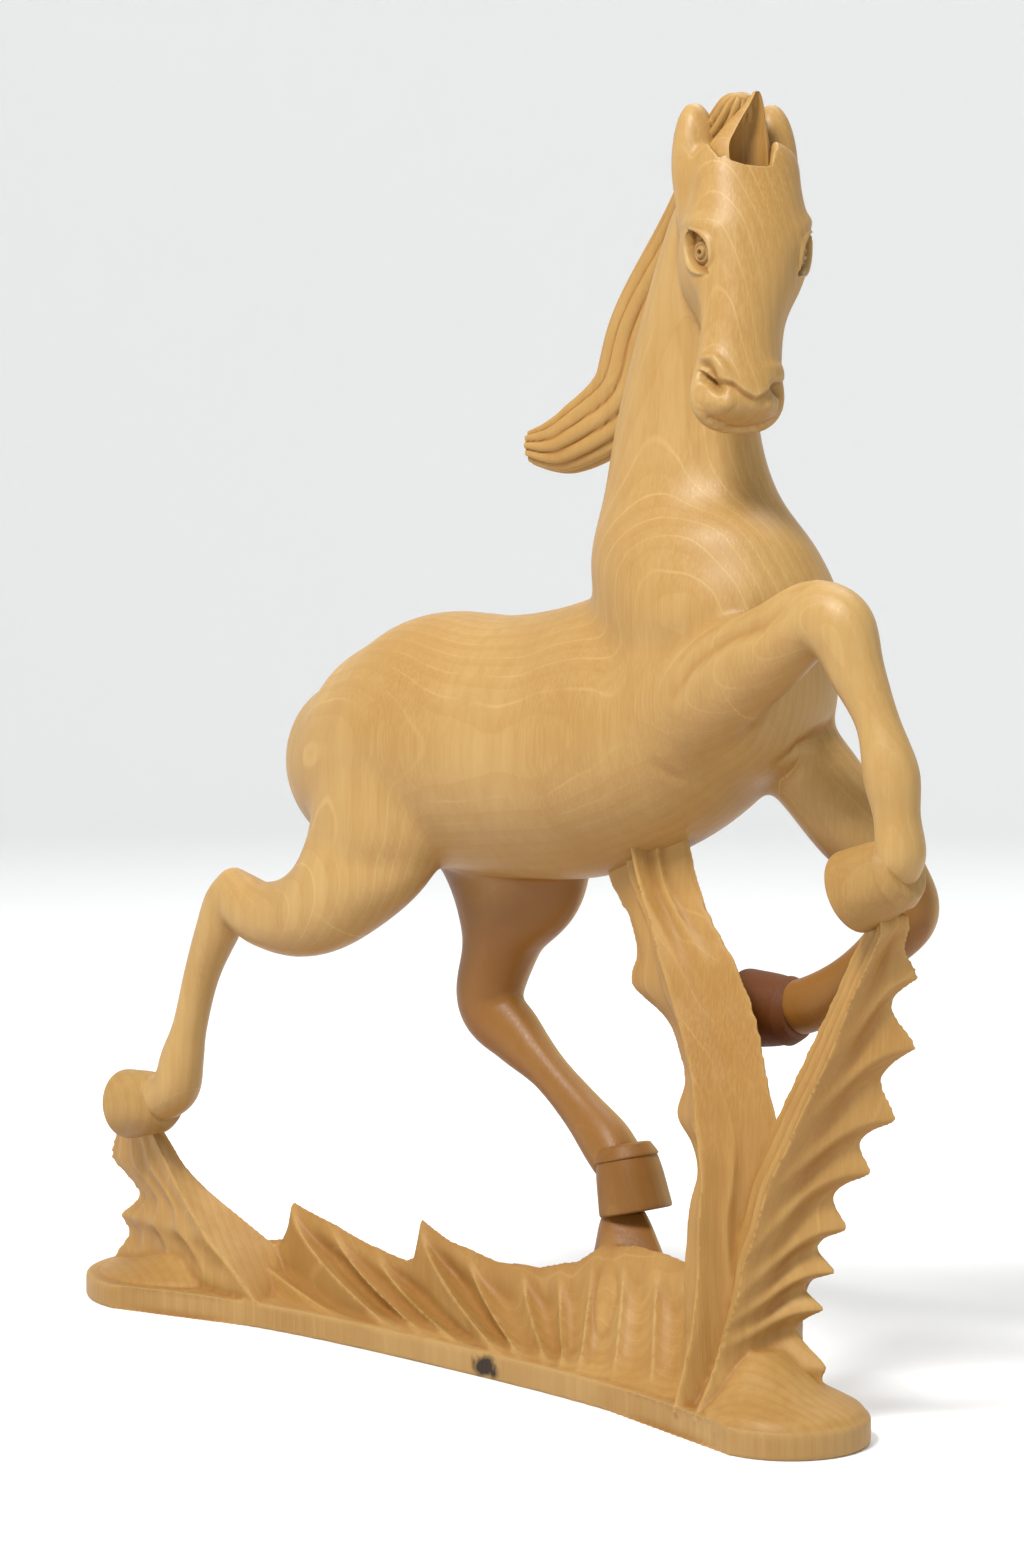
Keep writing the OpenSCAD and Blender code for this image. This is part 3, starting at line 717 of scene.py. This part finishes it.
def near_half(x):
    """Half width of the base on the horse's right side."""
    return np.where(x < 0, base_half(x, END_RADIUS, REAR_CENTRE), base_half(x, 36, LOBE[0]))


def far_half(x):
    """Half width of the base on the horse's left side."""
    return np.where(x < 0, base_half(x, END_RADIUS, REAR_CENTRE), base_half(x, 30, 102))


def base_outline():
    """Waisted edges, a round rear end, and at the front a lobe skewed towards the right side."""
    a = np.radians(np.arange(270, 90, -6))
    rear = np.stack([REAR_CENTRE + END_RADIUS * np.cos(a), END_RADIUS * np.sin(a)], -1)
    x = np.linspace(REAR_CENTRE, 102, 40)
    far = np.stack([x, far_half(x)], -1)
    a = np.radians(np.arange(80, -86, -6))
    b = smooth_step(a, math.radians(48), math.radians(84))
    centre = LOBE[None] * (1 - b[:, None]) + np.array([102.0, 6.0])[None] * b[:, None]
    front = centre + LOBE_RADIUS * np.stack([np.cos(a), np.sin(a)], -1)
    x = np.linspace(LOBE[0], REAR_CENTRE, 50)
    near = np.stack([x, -near_half(x)], -1)
    return np.vstack([rear, far, front, near])


def plinth_form():
    """The outline at four levels, drawn in a little at the bottom edge and the top edge."""
    o = base_outline()
    inward = unit(np.array([-5.0, 0.0]) - o)
    rows = [(0, 0.6), (0.8, 0), (BASE_RIM - 1.0, 0), (BASE_RIM, 0.8)]
    return np.stack([np.column_stack([o + inward * d, np.full(len(o), z)]) for z, d in rows])


# Crest of the ridge: place, height, and how far a cut sweeps forward on its way down to the rim
CREST = np.array([
    [-158, 12, 60], [-128, 18, 66], [-110, 24, 70], [-97, 22.5, 70], [-88, 24, 70], [-85, 29, 70],
    [-83, 37, 70], [-66, 33, 66], [-46, 28, 61], [-29, 25.5, 57], [-25.5, 27, 56], [-24, 32, 56],
    [-22, 39.5, 55], [-9, 34.5, 48], [12, 31, 36], [30, 32, 26], [46, 36, 15], [56, 42, 11],
    [70, 44, 15], [84, 43, 20], [100, 40, 16], [116, 34, 5]])
# Where each cut of the gouge meets the crest, and how deep it runs
CUTS = np.array([-128, -104, -83, -62, -42, -22, 0, 24, 40, 54, 67, 80, 95, 110.0])
DEPTHS = np.array([2.6, 4.2, 6.2, 4.4, 5.6, 6.6, 5.0, 5.0, 4.0, 4.4, 3.6, 4.0, 2.2, 1.2])


def ridge_form():
    """x = crest + sweep*(1-t)^1.6, y = foot*(0.25*(1-t)^0.5 + 0.75*(1-t)^1.5), z = rim + rise*t, for both
    faces of the ridge, less the gouge: from each cut to the next a hollow depth*sin(pi*p^0.75)^0.75."""
    x0 = np.linspace(-158, 116, 900)
    h = np.interp(x0, CREST[:, 0], CREST[:, 1])
    sweep = np.interp(x0, CREST[:, 0], CREST[:, 2])
    up = np.concatenate([np.linspace(0, 1, 60), np.linspace(1, 0, 60)[1:]])[None]
    face = np.where(np.arange(up.size) < 60, -1.0, 1.0)[None]
    x = x0[:, None] + sweep[:, None] * (1 - up) ** 1.6
    foot = np.where(face < 0, near_half(x), far_half(x)) - 0.9
    foot = np.minimum(foot, np.interp(x, [-150, -125, 100, 126], [24, 29, 27, 18]))
    i = np.clip(np.searchsorted(CUTS, x0, side="right") - 1, 0, len(CUTS) - 2)
    p = np.clip((x0 - CUTS[i]) / (CUTS[i + 1] - CUTS[i]), 0, 1)
    hollow = (DEPTHS[i] * np.sin(math.pi * p ** 0.75) ** 0.75)[:, None]
    hollow = hollow * smooth_step(up, 0.0, 0.25) * (1 - 0.9 * smooth_step(up, 0.6, 0.96))
    y = face * np.maximum(foot * (0.25 * (1 - up) ** 0.5 + 0.75 * (1 - up) ** 1.5) - hollow * 0.8, 0.0)
    z = BASE_RIM - 1 + (h[:, None] - BASE_RIM + 1) * up - hollow * 0.45
    return np.stack([x, y, z], -1)


def mound_form(rows):
    """Level round rings, [x, y, height, radius], that slope from the rim up to the root of a plume."""
    r = curve_through(rows, 8)
    a = np.linspace(0, 2 * math.pi, 72, endpoint=False)
    g = np.stack([r[:, 0, None] + r[:, 3, None] * np.cos(a), r[:, 1, None] + r[:, 3, None] * np.sin(a),
                  np.repeat(r[:, 2, None], 72, 1)], -1)
    return g


FRONT_MOUND = [[138, -12, 5, 23.2], [137.7, -12, 9.2, 22.4], [137, -12, 11.4, 19.5], [134, -12, 14.5, 15],
               [131, -11, 19, 11], [128, -10, 24, 6]]
REAR_MOUND = [[-131, -1, 5, 34], [-130.5, -1, 8.6, 32.5], [-129, -2, 10.6, 28], [-125, -4, 13, 20],
              [-122, -6, 16, 13], [-120, -8, 19, 6]]


def raised(plans, heights):
    """Corner curves from their plans: each [x, y] lifted to the height of its level."""
    return [[[x, y, h] for (x, y), h in zip(plan, heights)] for plan in plans]


def round_ring(grid, per_side):
    """For each point of a four-sided ring, its side, and its place s from 0 to 1 along that side."""
    k = np.arange(grid.shape[1])
    return k // per_side, (k % per_side) / per_side


def level_out(grid):
    """The level direction from the middle of its ring to each point."""
    return unit((grid - grid.mean(axis=1, keepdims=True)) * LEVEL)


def front_plume_form():
    """Level rings through the plume's rear edge, near spine, front edge and far spine; the front edge swells
    to a tip at each scallop, and gouge cuts sweep from the spine up to the tips."""
    z = [152, 147, 138, 128, 117, 106, 95, 84, 72, 60, 50, 40, 30, 20, 12, 6]
    rear = [[171, -17], [169, -16], [163, -15], [157, -14], [150, -13], [143, -12], [136, -11], [129, -10],
            [122, -9], [117, -8], [113, -7], [111, -6], [110, -5], [108, -4], [104, -4], [100, -4]]
    near = [[181, -26], [182, -26], [176, -24], [170, -23.5], [164, -22.5], [158, -22], [151, -21.5],
            [145, -21], [138, -21], [134, -21], [130, -21.5], [128, -22], [125, -23.5], [123, -26],
            [122, -29], [121, -32]]
    front = [[186, -19], [187, -18], [185, -14], [183, -12], [181, -9], [177, -8], [172, -6], [166, -5],
             [158, -4], [152, -3], [148, -2], [144, -2], [142, -2], [145, -3], [153, -5], [158, -7]]
    far = [[176, -13], [176, -12], [171, -8], [166, -5], [161, -3], [156, -1], [150, 1], [144, 3],
           [138, 5], [133, 7], [130, 8], [127, 10], [124, 12], [121, 16], [118, 20], [116, 24]]
    g = leaf(raised((rear, near, front, far), z), [0.5, -1.6, -1.6, 0.5], steps=26, per_side=60)
    side, s = round_ring(g, 60)
    out_to_edge = np.where(side == 1, s, np.where(side == 2, 1 - s, 0))[None]
    tips = np.array([2, 20, 36, 47, 60, 77, 93, 114, 134, 160.0])
    level = g[..., 2] + 27 * (1 - out_to_edge) ** 2 * smooth_step(g[..., 2], 0, 60)
    i = np.clip(np.searchsorted(tips, level, side="right") - 1, 0, len(tips) - 2)
    p = np.clip((tips[i + 1] - level) / (tips[i + 1] - tips[i]), 0, 1)
    cut = np.clip(np.sin(math.pi * p ** 0.8), 0, 1) ** 1.5
    out = level_out(g)
    strength = out_to_edge ** 0.35 * smooth_step(g[..., 2], 6, 22) * (1 - smooth_step(g[..., 2], 138, 150))
    reach = 3.4 * out_to_edge ** 5 + 4.6 * out_to_edge ** 0.45
    left_face = np.where(side == 0, np.abs(np.sin(math.pi * 2.6 * s)) ** 0.8, 0)[None]
    depth = cut * strength * reach + 1.1 * left_face * smooth_step(g[..., 2], 8, 24)
    return g - out * depth[..., None] + out * (1.0 * out_to_edge ** 5 * strength)[..., None]


def belly_post_form():
    """Level rings through the post's serrated rear edge, near spine, front edge and far spine, less flutes
    |sin(pi*count*s + turn)|^0.6, whose turn grows with height so that they lean."""
    z = [174, 163, 156, 149, 141, 132, 126, 121, 113, 104, 96, 86, 78, 70, 60, 50, 40, 28, 16, 6]
    rear = [[58, -4], [60, -4], [61, -4], [64, -4], [71, -5], [74, -5], [72, -5], [73, -5], [86, -5],
            [91, -5], [94, -6], [91, -6], [97, -6], [99, -6], [96, -6], [95, -6], [95, -7], [96, -8],
            [97, -8], [98, -8]]
    near = [[76, -13], [79, -13], [81, -13], [84, -13.5], [88, -14], [92, -15], [95, -15], [97, -15],
            [101, -16], [105, -17], [108, -18], [110, -19], [112, -20], [113, -20], [113, -21], [113, -21],
            [113, -22], [113, -24], [112, -27], [112, -31]]
    front = [[91, -4], [95, -4], [97, -4], [100, -4], [106, -5], [114, -6], [117, -6], [120, -6], [124, -7],
             [127, -8], [130, -9], [133, -9], [132, -9], [131, -9], [130, -8], [130, -8], [130, -8],
             [130, -8], [131, -8], [132, -8]]
    far = [[77, 6], [79, 6], [80, 6], [83, 6], [88, 6], [94, 6], [97, 6], [100, 6], [104, 6], [108, 6],
           [111, 6], [113, 7], [114, 8], [114, 8], [113, 9], [113, 10], [113, 12], [113, 15],
           [113, 20], [113, 26]]
    g = leaf(raised((rear, near, front, far), z), [-1.2, -0.8, -0.8, -1.2], steps=20, per_side=50)
    side, s = round_ring(g, 50)
    level = g[..., 2]
    turn = 0.022 * (level - 60) + 0.5 * np.sin(level / 19) + 0.3 * np.sin(level / 7.5)
    flute = np.abs(np.sin(math.pi * np.choose(side, [2, 2.4, 2, 2]) * s[None] + turn)) ** 0.6
    seam = (np.sin(math.pi * s) ** 0.5)[None]
    out = level_out(g)
    keep = 0.55 + 0.75 * smooth_step(level, 125, 155) - 0.25 * smooth_step(level, 80, 100)
    return g - out * (2.7 * flute * seam * keep)[..., None]


def rear_plume_form():
    """Level rings through the serrated rear edge, the near spine, the front edge and the far edge, less
    flutes |sin(4*pi*s)| on the rear and the front face."""
    z = [58, 52, 47, 43, 38, 33, 29, 25, 21, 17, 12, 6]
    rear = [[-150, -19], [-154, -18], [-157, -17], [-157, -16], [-150, -15], [-146, -14], [-150, -14],
            [-156, -14], [-154, -13], [-154, -13], [-158, -14], [-162, -14]]
    near = [[-130, -22], [-125, -22], [-121, -22], [-118, -22], [-113, -22.5], [-108, -23], [-103, -23.5],
            [-98, -24], [-92, -24], [-86, -24], [-79, -24], [-72, -23]]
    front = [[-128, -18], [-126, -15], [-124, -13], [-120, -12], [-114, -10], [-106, -8], [-100, -6],
             [-94, -4], [-88, -2], [-84, 0], [-80, 4], [-78, 6]]
    far = [[-140, -12], [-141, -9], [-141, -7], [-140, -5], [-138, -3], [-136, -1], [-134, 2],
           [-132, 6], [-130, 11], [-129, 17], [-128, 23], [-128, 28]]
    g = leaf(raised((rear, near, front, far), z), [1.0, -1.0, -1.2, 1.0], steps=24, per_side=60)
    side, s = round_ring(g, 60)
    on_rear = np.abs(np.sin(math.pi * 4 * s ** 0.8)) ** 0.8
    on_front = np.abs(np.sin(math.pi * 4 * s))
    flute = np.where(side == 0, on_rear, np.where(side == 2, on_front, 0))[None]
    out = level_out(g)
    keep = 1.6 * flute * smooth_step(g[..., 2], 5, 18) * (1 - smooth_step(g[..., 2], 50, 60))
    return g - out * keep[..., None]


def hoof_wedge_form():
    """Level rings, pinched to a diamond, that narrow from the ridge up to the hoof."""
    return tube([[63, 2, 4, 26, 13], [63, 3, 20, 22, 11.5], [62, 6, 34, 16, 9.5],
                 [57, 9.5, 46, 10.5, 8], [55, 11, 51, 7.5, 6]], power=1.4, level=True)


def make_base():
    """The base's skin: rim, ridge, mounds, plumes, post and wedge joined, smoothed once over, flat below."""
    grids = [plinth_form(), ridge_form(), mound_form(FRONT_MOUND), mound_form(REAR_MOUND),
             front_plume_form(), belly_post_form(), rear_plume_form(), hoof_wedge_form()]
    base = carved("ground_ridge", grids, VOXEL_BASE)
    v, e = points_of(base), edges_of(base)
    v = relaxed(v, e, 2)
    v[:, 2] = np.maximum(v[:, 2], 0)
    set_points(base, v)
    # painted shade in hollows and a painted highlight on edges
    hollow_shade_and_edge_light(base, 14, 0.42)
    # painted shade on the undersides of the base
    painted_shade(base)
    return base


# ---------------------------------------------------------------- hair
def mane_form():
    """A tube back and down from the crown, with locks 1.3*(|sin(6a + turn)|^0.6 - 0.75) proud of it, whose
    turn grows along the mane."""
    p = POLL
    tip = p[0] - 93
    g = tube([
        [p[0] + 1.5, -4, p[2] + 19.0, 1.4, 2.5], [p[0] - 0.5, -3.5, p[2] + 16.0, 5, 6.0],
        [p[0] - 9, 0, p[2] + 6, 7.5, 7.5], [p[0] - 27, 4, p[2] - 16, 9, 5],
        [p[0] - 45, 6, p[2] - 43, 12.5, 5.5], [p[0] - 56, 8, p[2] - 64, 12.5, 6],
        [tip + 17, 8, p[2] - 75, 10, 6], [tip + 1, 7, p[2] - 77, 5, 4]], around=96, steps=30)
    a = np.linspace(0, 2 * math.pi, 96, endpoint=False)
    centre = g.mean(axis=1, keepdims=True)
    turn = np.linspace(0, 5.0, len(g))[:, None]
    wave = 0.35 * np.sin(np.linspace(0, 26, len(g)))[:, None]
    lock = np.abs(np.sin(a[None] * 6 + turn + wave)) ** 0.6
    proud = 1.3 * (lock - 0.75) * smooth_step(np.arange(len(g)), 0, 40)[:, None]
    return g + unit(g - centre) * proud[..., None]


def forelock_form():
    """Rings that are ellipses whose front is drawn in by 1.3*(1-((w-0.16)/0.66)^2)^0.6 of the half depth,
    w being the part of the half width, so that the left side of the lock is a hollow leaf."""
    rows = np.array([
        [5.0, -2.4, 349, 7.8, 7.8], [5.2, -2.4, 355, 7.6, 8.6], [4.8, -2.4, 361, 6.6, 8.6],
        [4.2, -1.2, 365, 5.4, 7.0], [3.9, 0.2, 369, 4.1, 5.0], [4.0, 1.6, 372.6, 2.9, 3.1],
        [4.2, 2.4, 375.4, 1.7, 1.6], [4.4, 2.6, 376.6, 0.8, 0.7]])
    s = curve_through(rows, 10)
    a = np.linspace(0, 2 * math.pi, 96, endpoint=False)
    w = np.sin(a)
    drawn = np.where(np.cos(a) > 0, 1.3 * np.clip(1 - ((w - 0.16) / 0.66) ** 2, 0, 1) ** 0.6, 0)
    forward = s[:, 0, None] + s[:, 3, None] * (np.cos(a) - drawn)[None]
    left = s[:, 1, None] + s[:, 4, None] * w[None]
    at = POLL + FACE * forward[..., None] + FACE_SIDE * left[..., None]
    at[..., 2] = s[:, 2, None]
    return at


def tail_form():
    """A tube that curls round the left buttock, with flutes 0.8*(|sin(6a)| - 0.5) along it."""
    b = 30
    g = tube([
        [along_trunk(0.10), 4, up_trunk(0.14), 7, 6], [along_trunk(0.02), 12, up_trunk(0.16), 6, 6],
        [along_trunk(0.03), b - 6, up_trunk(0.06), 8, 6], [along_trunk(0.09), b, up_trunk(-0.16), 10, 6],
        [along_trunk(0.14), b + 1, up_trunk(-0.32), 9, 5], [along_trunk(0.17), b, up_trunk(-0.44), 3, 2]],
        around=80, steps=24)
    a = np.linspace(0, 2 * math.pi, 80, endpoint=False)
    centre = g.mean(axis=1, keepdims=True)
    return g + unit(g - centre) * (0.8 * (np.abs(np.sin(a * 6)) - 0.5))[None, :, None]


# ---------------------------------------------------------------- materials
def node_of(tree, kind, **values):
    """A new shader node with the given settings."""
    n = tree.nodes.new(kind)
    for key, value in values.items():
        setattr(n, key, value)
    return n


# In metres, as the materials' coordinates are: the knot in the rim, the pith, and one year's growth
KNOT = (0.0265, -0.0205, 0.0035)
KNOT_COLOUR = (0.028, 0.017, 0.010)
PITH = (0.055, 0.42)
YEAR = 0.0031
# How a tone shifts, in red, green and blue, in soft wood, late wood, painted shade in hollows, pale lines
# and painted shade on undersides
PALE = (1.08, 1.14, 1.24)
LATE = (0.80, 0.71, 0.56)
HOLLOW_SHADE_TINT = (0.66, 0.47, 0.26)
LINE = (1.28, 1.4, 1.6)
PAINTED_SHADE_TINT = (0.42, 0.24, 0.05)


def wood(name, tone, roughness, knot=False):
    """Limewood: pale lines where growth layers meet the surface, upright fibres and soft mottling, with
    painted shade in hollows, a painted highlight on edges, and painted shade on undersides and the far legs'
    inner faces."""
    m = bpy.data.materials.new(name)
    m.use_nodes = True
    t = m.node_tree
    t.nodes.clear()
    out = node_of(t, "ShaderNodeOutputMaterial")
    shader = node_of(t, "ShaderNodeBsdfPrincipled")
    shader.inputs["Roughness"].default_value = roughness
    shader.inputs["Specular IOR Level"].default_value = 0.28
    t.links.new(shader.outputs[0], out.inputs[0])
    place = node_of(t, "ShaderNodeTexCoord")

    def scaled(x, y, z):
        n = node_of(t, "ShaderNodeMapping")
        n.inputs["Scale"].default_value = (x, y, z)
        t.links.new(place.outputs["Object"], n.inputs[0])
        return n.outputs[0]

    def noise(vector, scale, detail=2.0):
        n = node_of(t, "ShaderNodeTexNoise")
        n.inputs["Scale"].default_value = scale
        n.inputs["Detail"].default_value = detail
        t.links.new(vector, n.inputs["Vector"])
        return n.outputs["Fac"]

    def maths(operation, a, b=None):
        n = node_of(t, "ShaderNodeMath", operation=operation)
        for socket, value in zip(n.inputs, (a, b)):
            if value is None:
                continue
            if isinstance(value, (int, float)):
                socket.default_value = value
            else:
                t.links.new(value, socket)
        return n.outputs[0]

    def span(value, a, b, c, d):
        n = node_of(t, "ShaderNodeMapRange")
        for socket, v in zip(n.inputs[1:5], (a, b, c, d)):
            socket.default_value = v
        t.links.new(value, n.inputs[0])
        return n.outputs[0]

    def mixed(factor, a, b, kind="MIX"):
        n = node_of(t, "ShaderNodeMix", data_type="RGBA", blend_type=kind)
        for socket, value in ((n.inputs["Factor"], factor), (n.inputs[6], a), (n.inputs[7], b)):
            if isinstance(value, tuple):
                socket.default_value = value + (1,)
            elif isinstance(value, float):
                socket.default_value = value
            else:
                t.links.new(value, socket)
        return n.outputs[2]

    def shifted(shift):
        return tuple(min(c * f, 1) for c, f in zip(tone, shift))

    # growth layers lie upright and curve round a pith far off on the left side
    split = node_of(t, "ShaderNodeSeparateXYZ")
    t.links.new(place.outputs["Object"], split.inputs[0])
    x = maths("SUBTRACT", split.outputs["X"], PITH[0])
    y = maths("SUBTRACT", split.outputs["Y"], PITH[1])
    from_pith = maths("SQRT", maths("ADD", maths("MULTIPLY", x, x), maths("MULTIPLY", y, y)))
    bend = maths("MULTIPLY", maths("SUBTRACT", noise(scaled(8, 8, 4), 1.0), 0.5), 0.007)
    turns = maths("MULTIPLY", maths("ADD", from_pith, bend), 1 / YEAR)
    wander = maths("MULTIPLY", noise(scaled(30, 30, 10), 1.0), 0.9)
    into = maths("FRACT", maths("ADD", turns, wander))
    line = span(maths("ABSOLUTE", maths("SUBTRACT", into, 0.5)), 0.012, 0.055, 1, 0)
    late = span(into, 0.5, 1.0, 0.0, 1.0)
    broken = span(noise(scaled(45, 45, 14), 1.0, 3), 0.38, 0.62, 0.0, 1.0)
    line = maths("MULTIPLY", line, broken)
    fibre = noise(scaled(1700, 1700, 55), 1.0, 3)
    streak = noise(scaled(300, 300, 9), 1.0, 3)
    mottle = noise(scaled(22, 22, 13), 1.0, 3)
    hollow = node_of(t, "ShaderNodeAttribute", attribute_name="hollow").outputs["Fac"]
    dark, light = shifted(LATE), shifted(PALE)
    colour = mixed(span(mottle, 0.30, 0.70, 0, 1), dark, light)
    colour = mixed(span(streak, 0.35, 0.65, 0, 0.40), colour, dark)
    colour = mixed(span(fibre, 0.42, 0.62, 0, 0.32), colour, light)
    colour = mixed(maths("MULTIPLY", late, 0.30), colour, dark)
    colour = mixed(maths("MULTIPLY", line, 0.36), colour, shifted(LINE))
    # painted shade: hollows darkened towards the hollow tint
    colour = mixed(span(hollow, 0.05, 0.9, 0, 0.85), colour, shifted(HOLLOW_SHADE_TINT))
    # painted highlight: convex edges lightened
    colour = mixed(span(hollow, -0.8, -0.1, 0.55, 0), colour, light)
    # painted shade: the tint darkens undersides and the far legs' inner faces
    old = node_of(t, "ShaderNodeAttribute", attribute_name="painted_shade").outputs["Fac"]
    colour = mixed(span(old, 0, 1, 0, 0.92), colour, shifted(PAINTED_SHADE_TINT))
    if knot:
        off = node_of(t, "ShaderNodeVectorMath", operation="SUBTRACT")
        t.links.new(place.outputs["Object"], off.inputs[0])
        off.inputs[1].default_value = KNOT
        flat = node_of(t, "ShaderNodeVectorMath", operation="MULTIPLY")
        t.links.new(off.outputs[0], flat.inputs[0])
        flat.inputs[1].default_value = (0.75, 0.75, 1.5)
        reach = node_of(t, "ShaderNodeVectorMath", operation="LENGTH")
        t.links.new(flat.outputs[0], reach.inputs[0])
        fray = maths("MULTIPLY", noise(scaled(320, 320, 200), 1.0, 4), 0.009)
        ragged = maths("ADD", reach.outputs["Value"], fray)
        colour = mixed(span(ragged, 0.0068, 0.0098, 1, 0), colour, KNOT_COLOUR)
    t.links.new(colour, shader.inputs["Base Color"])
    rough = span(fibre, 0.3, 0.7, roughness - 0.06, roughness + 0.10)
    t.links.new(rough, shader.inputs["Roughness"])
    bump = node_of(t, "ShaderNodeBump")
    bump.inputs["Strength"].default_value = 0.22
    bump.inputs["Distance"].default_value = 0.0003
    t.links.new(maths("ADD", fibre, maths("MULTIPLY", streak, 0.6)), bump.inputs["Height"])
    t.links.new(bump.outputs[0], shader.inputs["Normal"])
    return m


def finish_piece(obj, node, material):
    """Gives a piece its wood and smooth shading with crisp edges, and ties it to the frame: its body and the
    node it stands for."""
    obj.data.materials.clear()
    obj.data.materials.append(material)
    obj.data.polygons.foreach_set("use_smooth", np.ones(len(obj.data.polygons), bool))
    obj.data.set_sharp_from_angle(angle=SHARP_EDGE)
    obj.data.update()
    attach(obj, "root")
    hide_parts(node)
    obj.name = "carved_" + node


# ---------------------------------------------------------------- the camera, lights and floor
CAMERA_LENS = 80.47741935
CAMERA_TURN = math.radians(45)
CAMERA_TILT = math.radians(86.5)
CAMERA_AWAY = 1.05
CAMERA_ALONG = 0.018
CAMERA_HEIGHT = 0.245


def make_camera():
    """Stands off the right fore quarter, level with the horse's back and tilted a little down."""
    data = bpy.data.cameras.new("camera")
    data.sensor_width = 36
    data.lens = CAMERA_LENS
    data.clip_start = 0.05
    cam = bpy.data.objects.new("camera", data)
    bpy.context.scene.collection.objects.link(cam)
    cam.location = (CAMERA_ALONG + CAMERA_AWAY * math.sin(CAMERA_TURN),
                    -CAMERA_AWAY * math.cos(CAMERA_TURN), CAMERA_HEIGHT)
    cam.rotation_euler = (CAMERA_TILT, 0, CAMERA_TURN)
    bpy.context.scene.camera = cam


def area_light(name, place, target, size, power, colour=(1, 1, 1)):
    """A soft rectangular lamp that faces its target."""
    data = bpy.data.lights.new(name, "AREA")
    data.shape = "RECTANGLE"
    data.size, data.size_y = size
    data.energy = power
    data.color = colour
    lamp = bpy.data.objects.new(name, data)
    bpy.context.scene.collection.objects.link(lamp)
    lamp.location = place
    lamp.rotation_euler = (Vector(target) - Vector(place)).to_track_quat("-Z", "Y").to_euler()


def make_studio():
    """A round white cove, its section carried round: a flat floor, a quarter turn and a wall."""
    bend = np.linspace(0, math.pi / 2, 24)
    r = np.concatenate([[1.0, 600], 2100 + 900 * np.sin(bend), [3000]])
    z = np.concatenate([[0, 0], 900 - 900 * np.cos(bend), [1900]])
    turn = np.linspace(0, 2 * math.pi, 96, endpoint=False)
    g = np.stack([r[:, None] * np.cos(turn), r[:, None] * np.sin(turn), np.repeat(z[:, None], 96, 1)], -1)
    n, m = g.shape[:2]
    cove = new_object("cove", g.reshape(-1, 3), ring_quads(n, m).tolist() + [list(range(m))])
    cove.data.polygons.foreach_set("use_smooth", np.ones(len(cove.data.polygons), bool))
    m = bpy.data.materials.new("white_paper")
    m.use_nodes = True
    shader = m.node_tree.nodes["Principled BSDF"]
    shader.inputs["Base Color"].default_value = (0.90, 0.905, 0.905, 1)
    shader.inputs["Emission Color"].default_value = (0.95, 0.975, 1.0, 1)
    shader.inputs["Emission Strength"].default_value = 0.04
    shader.inputs["Roughness"].default_value = 0.95
    shader.inputs["Specular IOR Level"].default_value = 0.1
    cove.data.materials.append(m)
    world = bpy.data.worlds.new("studio")
    bpy.context.scene.world = world
    world.use_nodes = True
    world.node_tree.nodes["Background"].inputs[0].default_value = (0.965, 0.985, 1.0, 1)
    world.node_tree.nodes["Background"].inputs[1].default_value = 0.30
    area_light("key", (0.22, -1.16, 1.70), (0.02, 0, 0.2), (0.55, 0.55), 45, (1, 0.985, 0.96))
    area_light("top", (-0.3, 0.75, 1.9), (-0.1, 0.4, 0.1), (1.1, 1.1), 20)
    bpy.context.scene.view_settings.view_transform = "Standard"


make_camera()
make_studio()

body_wood = wood("body_wood", (0.425, 0.258, 0.088), 0.42)
base_wood = wood("base_wood", (0.385, 0.215, 0.062), 0.50, knot=True)
rim_wood = wood("rim_wood", (0.375, 0.220, 0.074), 0.55, knot=True)
end_grain = wood("end_grain", (0.210, 0.085, 0.018), 0.62)
hair_wood = wood("hair_wood", (0.395, 0.226, 0.066), 0.52)
hoof_wood = wood("hoof_wood", (0.360, 0.212, 0.066), 0.48)
eye_wood = wood("eye_wood", (0.345, 0.200, 0.070), 0.45)

body = make_body()
base = make_base()

pieces = {**part_skin(body, BODY_PARTS), **part_head(body), "trunk": body}
for name, piece in pieces.items():
    finish_piece(piece, name, body_wood)

rim_cutter = block((-300, -100, -5), (300, 100, BASE_RIM))
rim = split_off(base, "plinth", rim_cutter)
drop(rim_cutter)
for name, piece in {**part_skin(base, BASE_PARTS), "ground_ridge": base}.items():
    finish_piece(piece, name, base_wood)
finish_piece(rim, "plinth", rim_wood)

for name, foot, tilt in (("right_fore_hoof", RIGHT_FORE_FOOT, 68), ("left_fore_hoof", LEFT_FORE_FOOT, 88),
                         ("right_hind_hoof", RIGHT_HIND_FOOT, 82), ("left_hind_hoof", LEFT_HIND_FOOT, -14)):
    grain = end_grain if name == "left_fore_hoof" else hoof_wood
    finish_piece(make_hoof(name, foot, tilt), name, grain)
for name, form in (("mane", mane_form), ("forelock", forelock_form), ("tail", tail_form)):
    lock = outwards(new_object(name, *shells([form()])))
    # painted shade in hollows and a painted highlight on edges
    hollow_shade_and_edge_light(lock, 6, 0.25)
    finish_piece(lock, name, hair_wood)
for name, side in (("right_eye", -1), ("left_eye", 1)):
    finish_piece(make_eyeball(name, side), name, eye_wood)
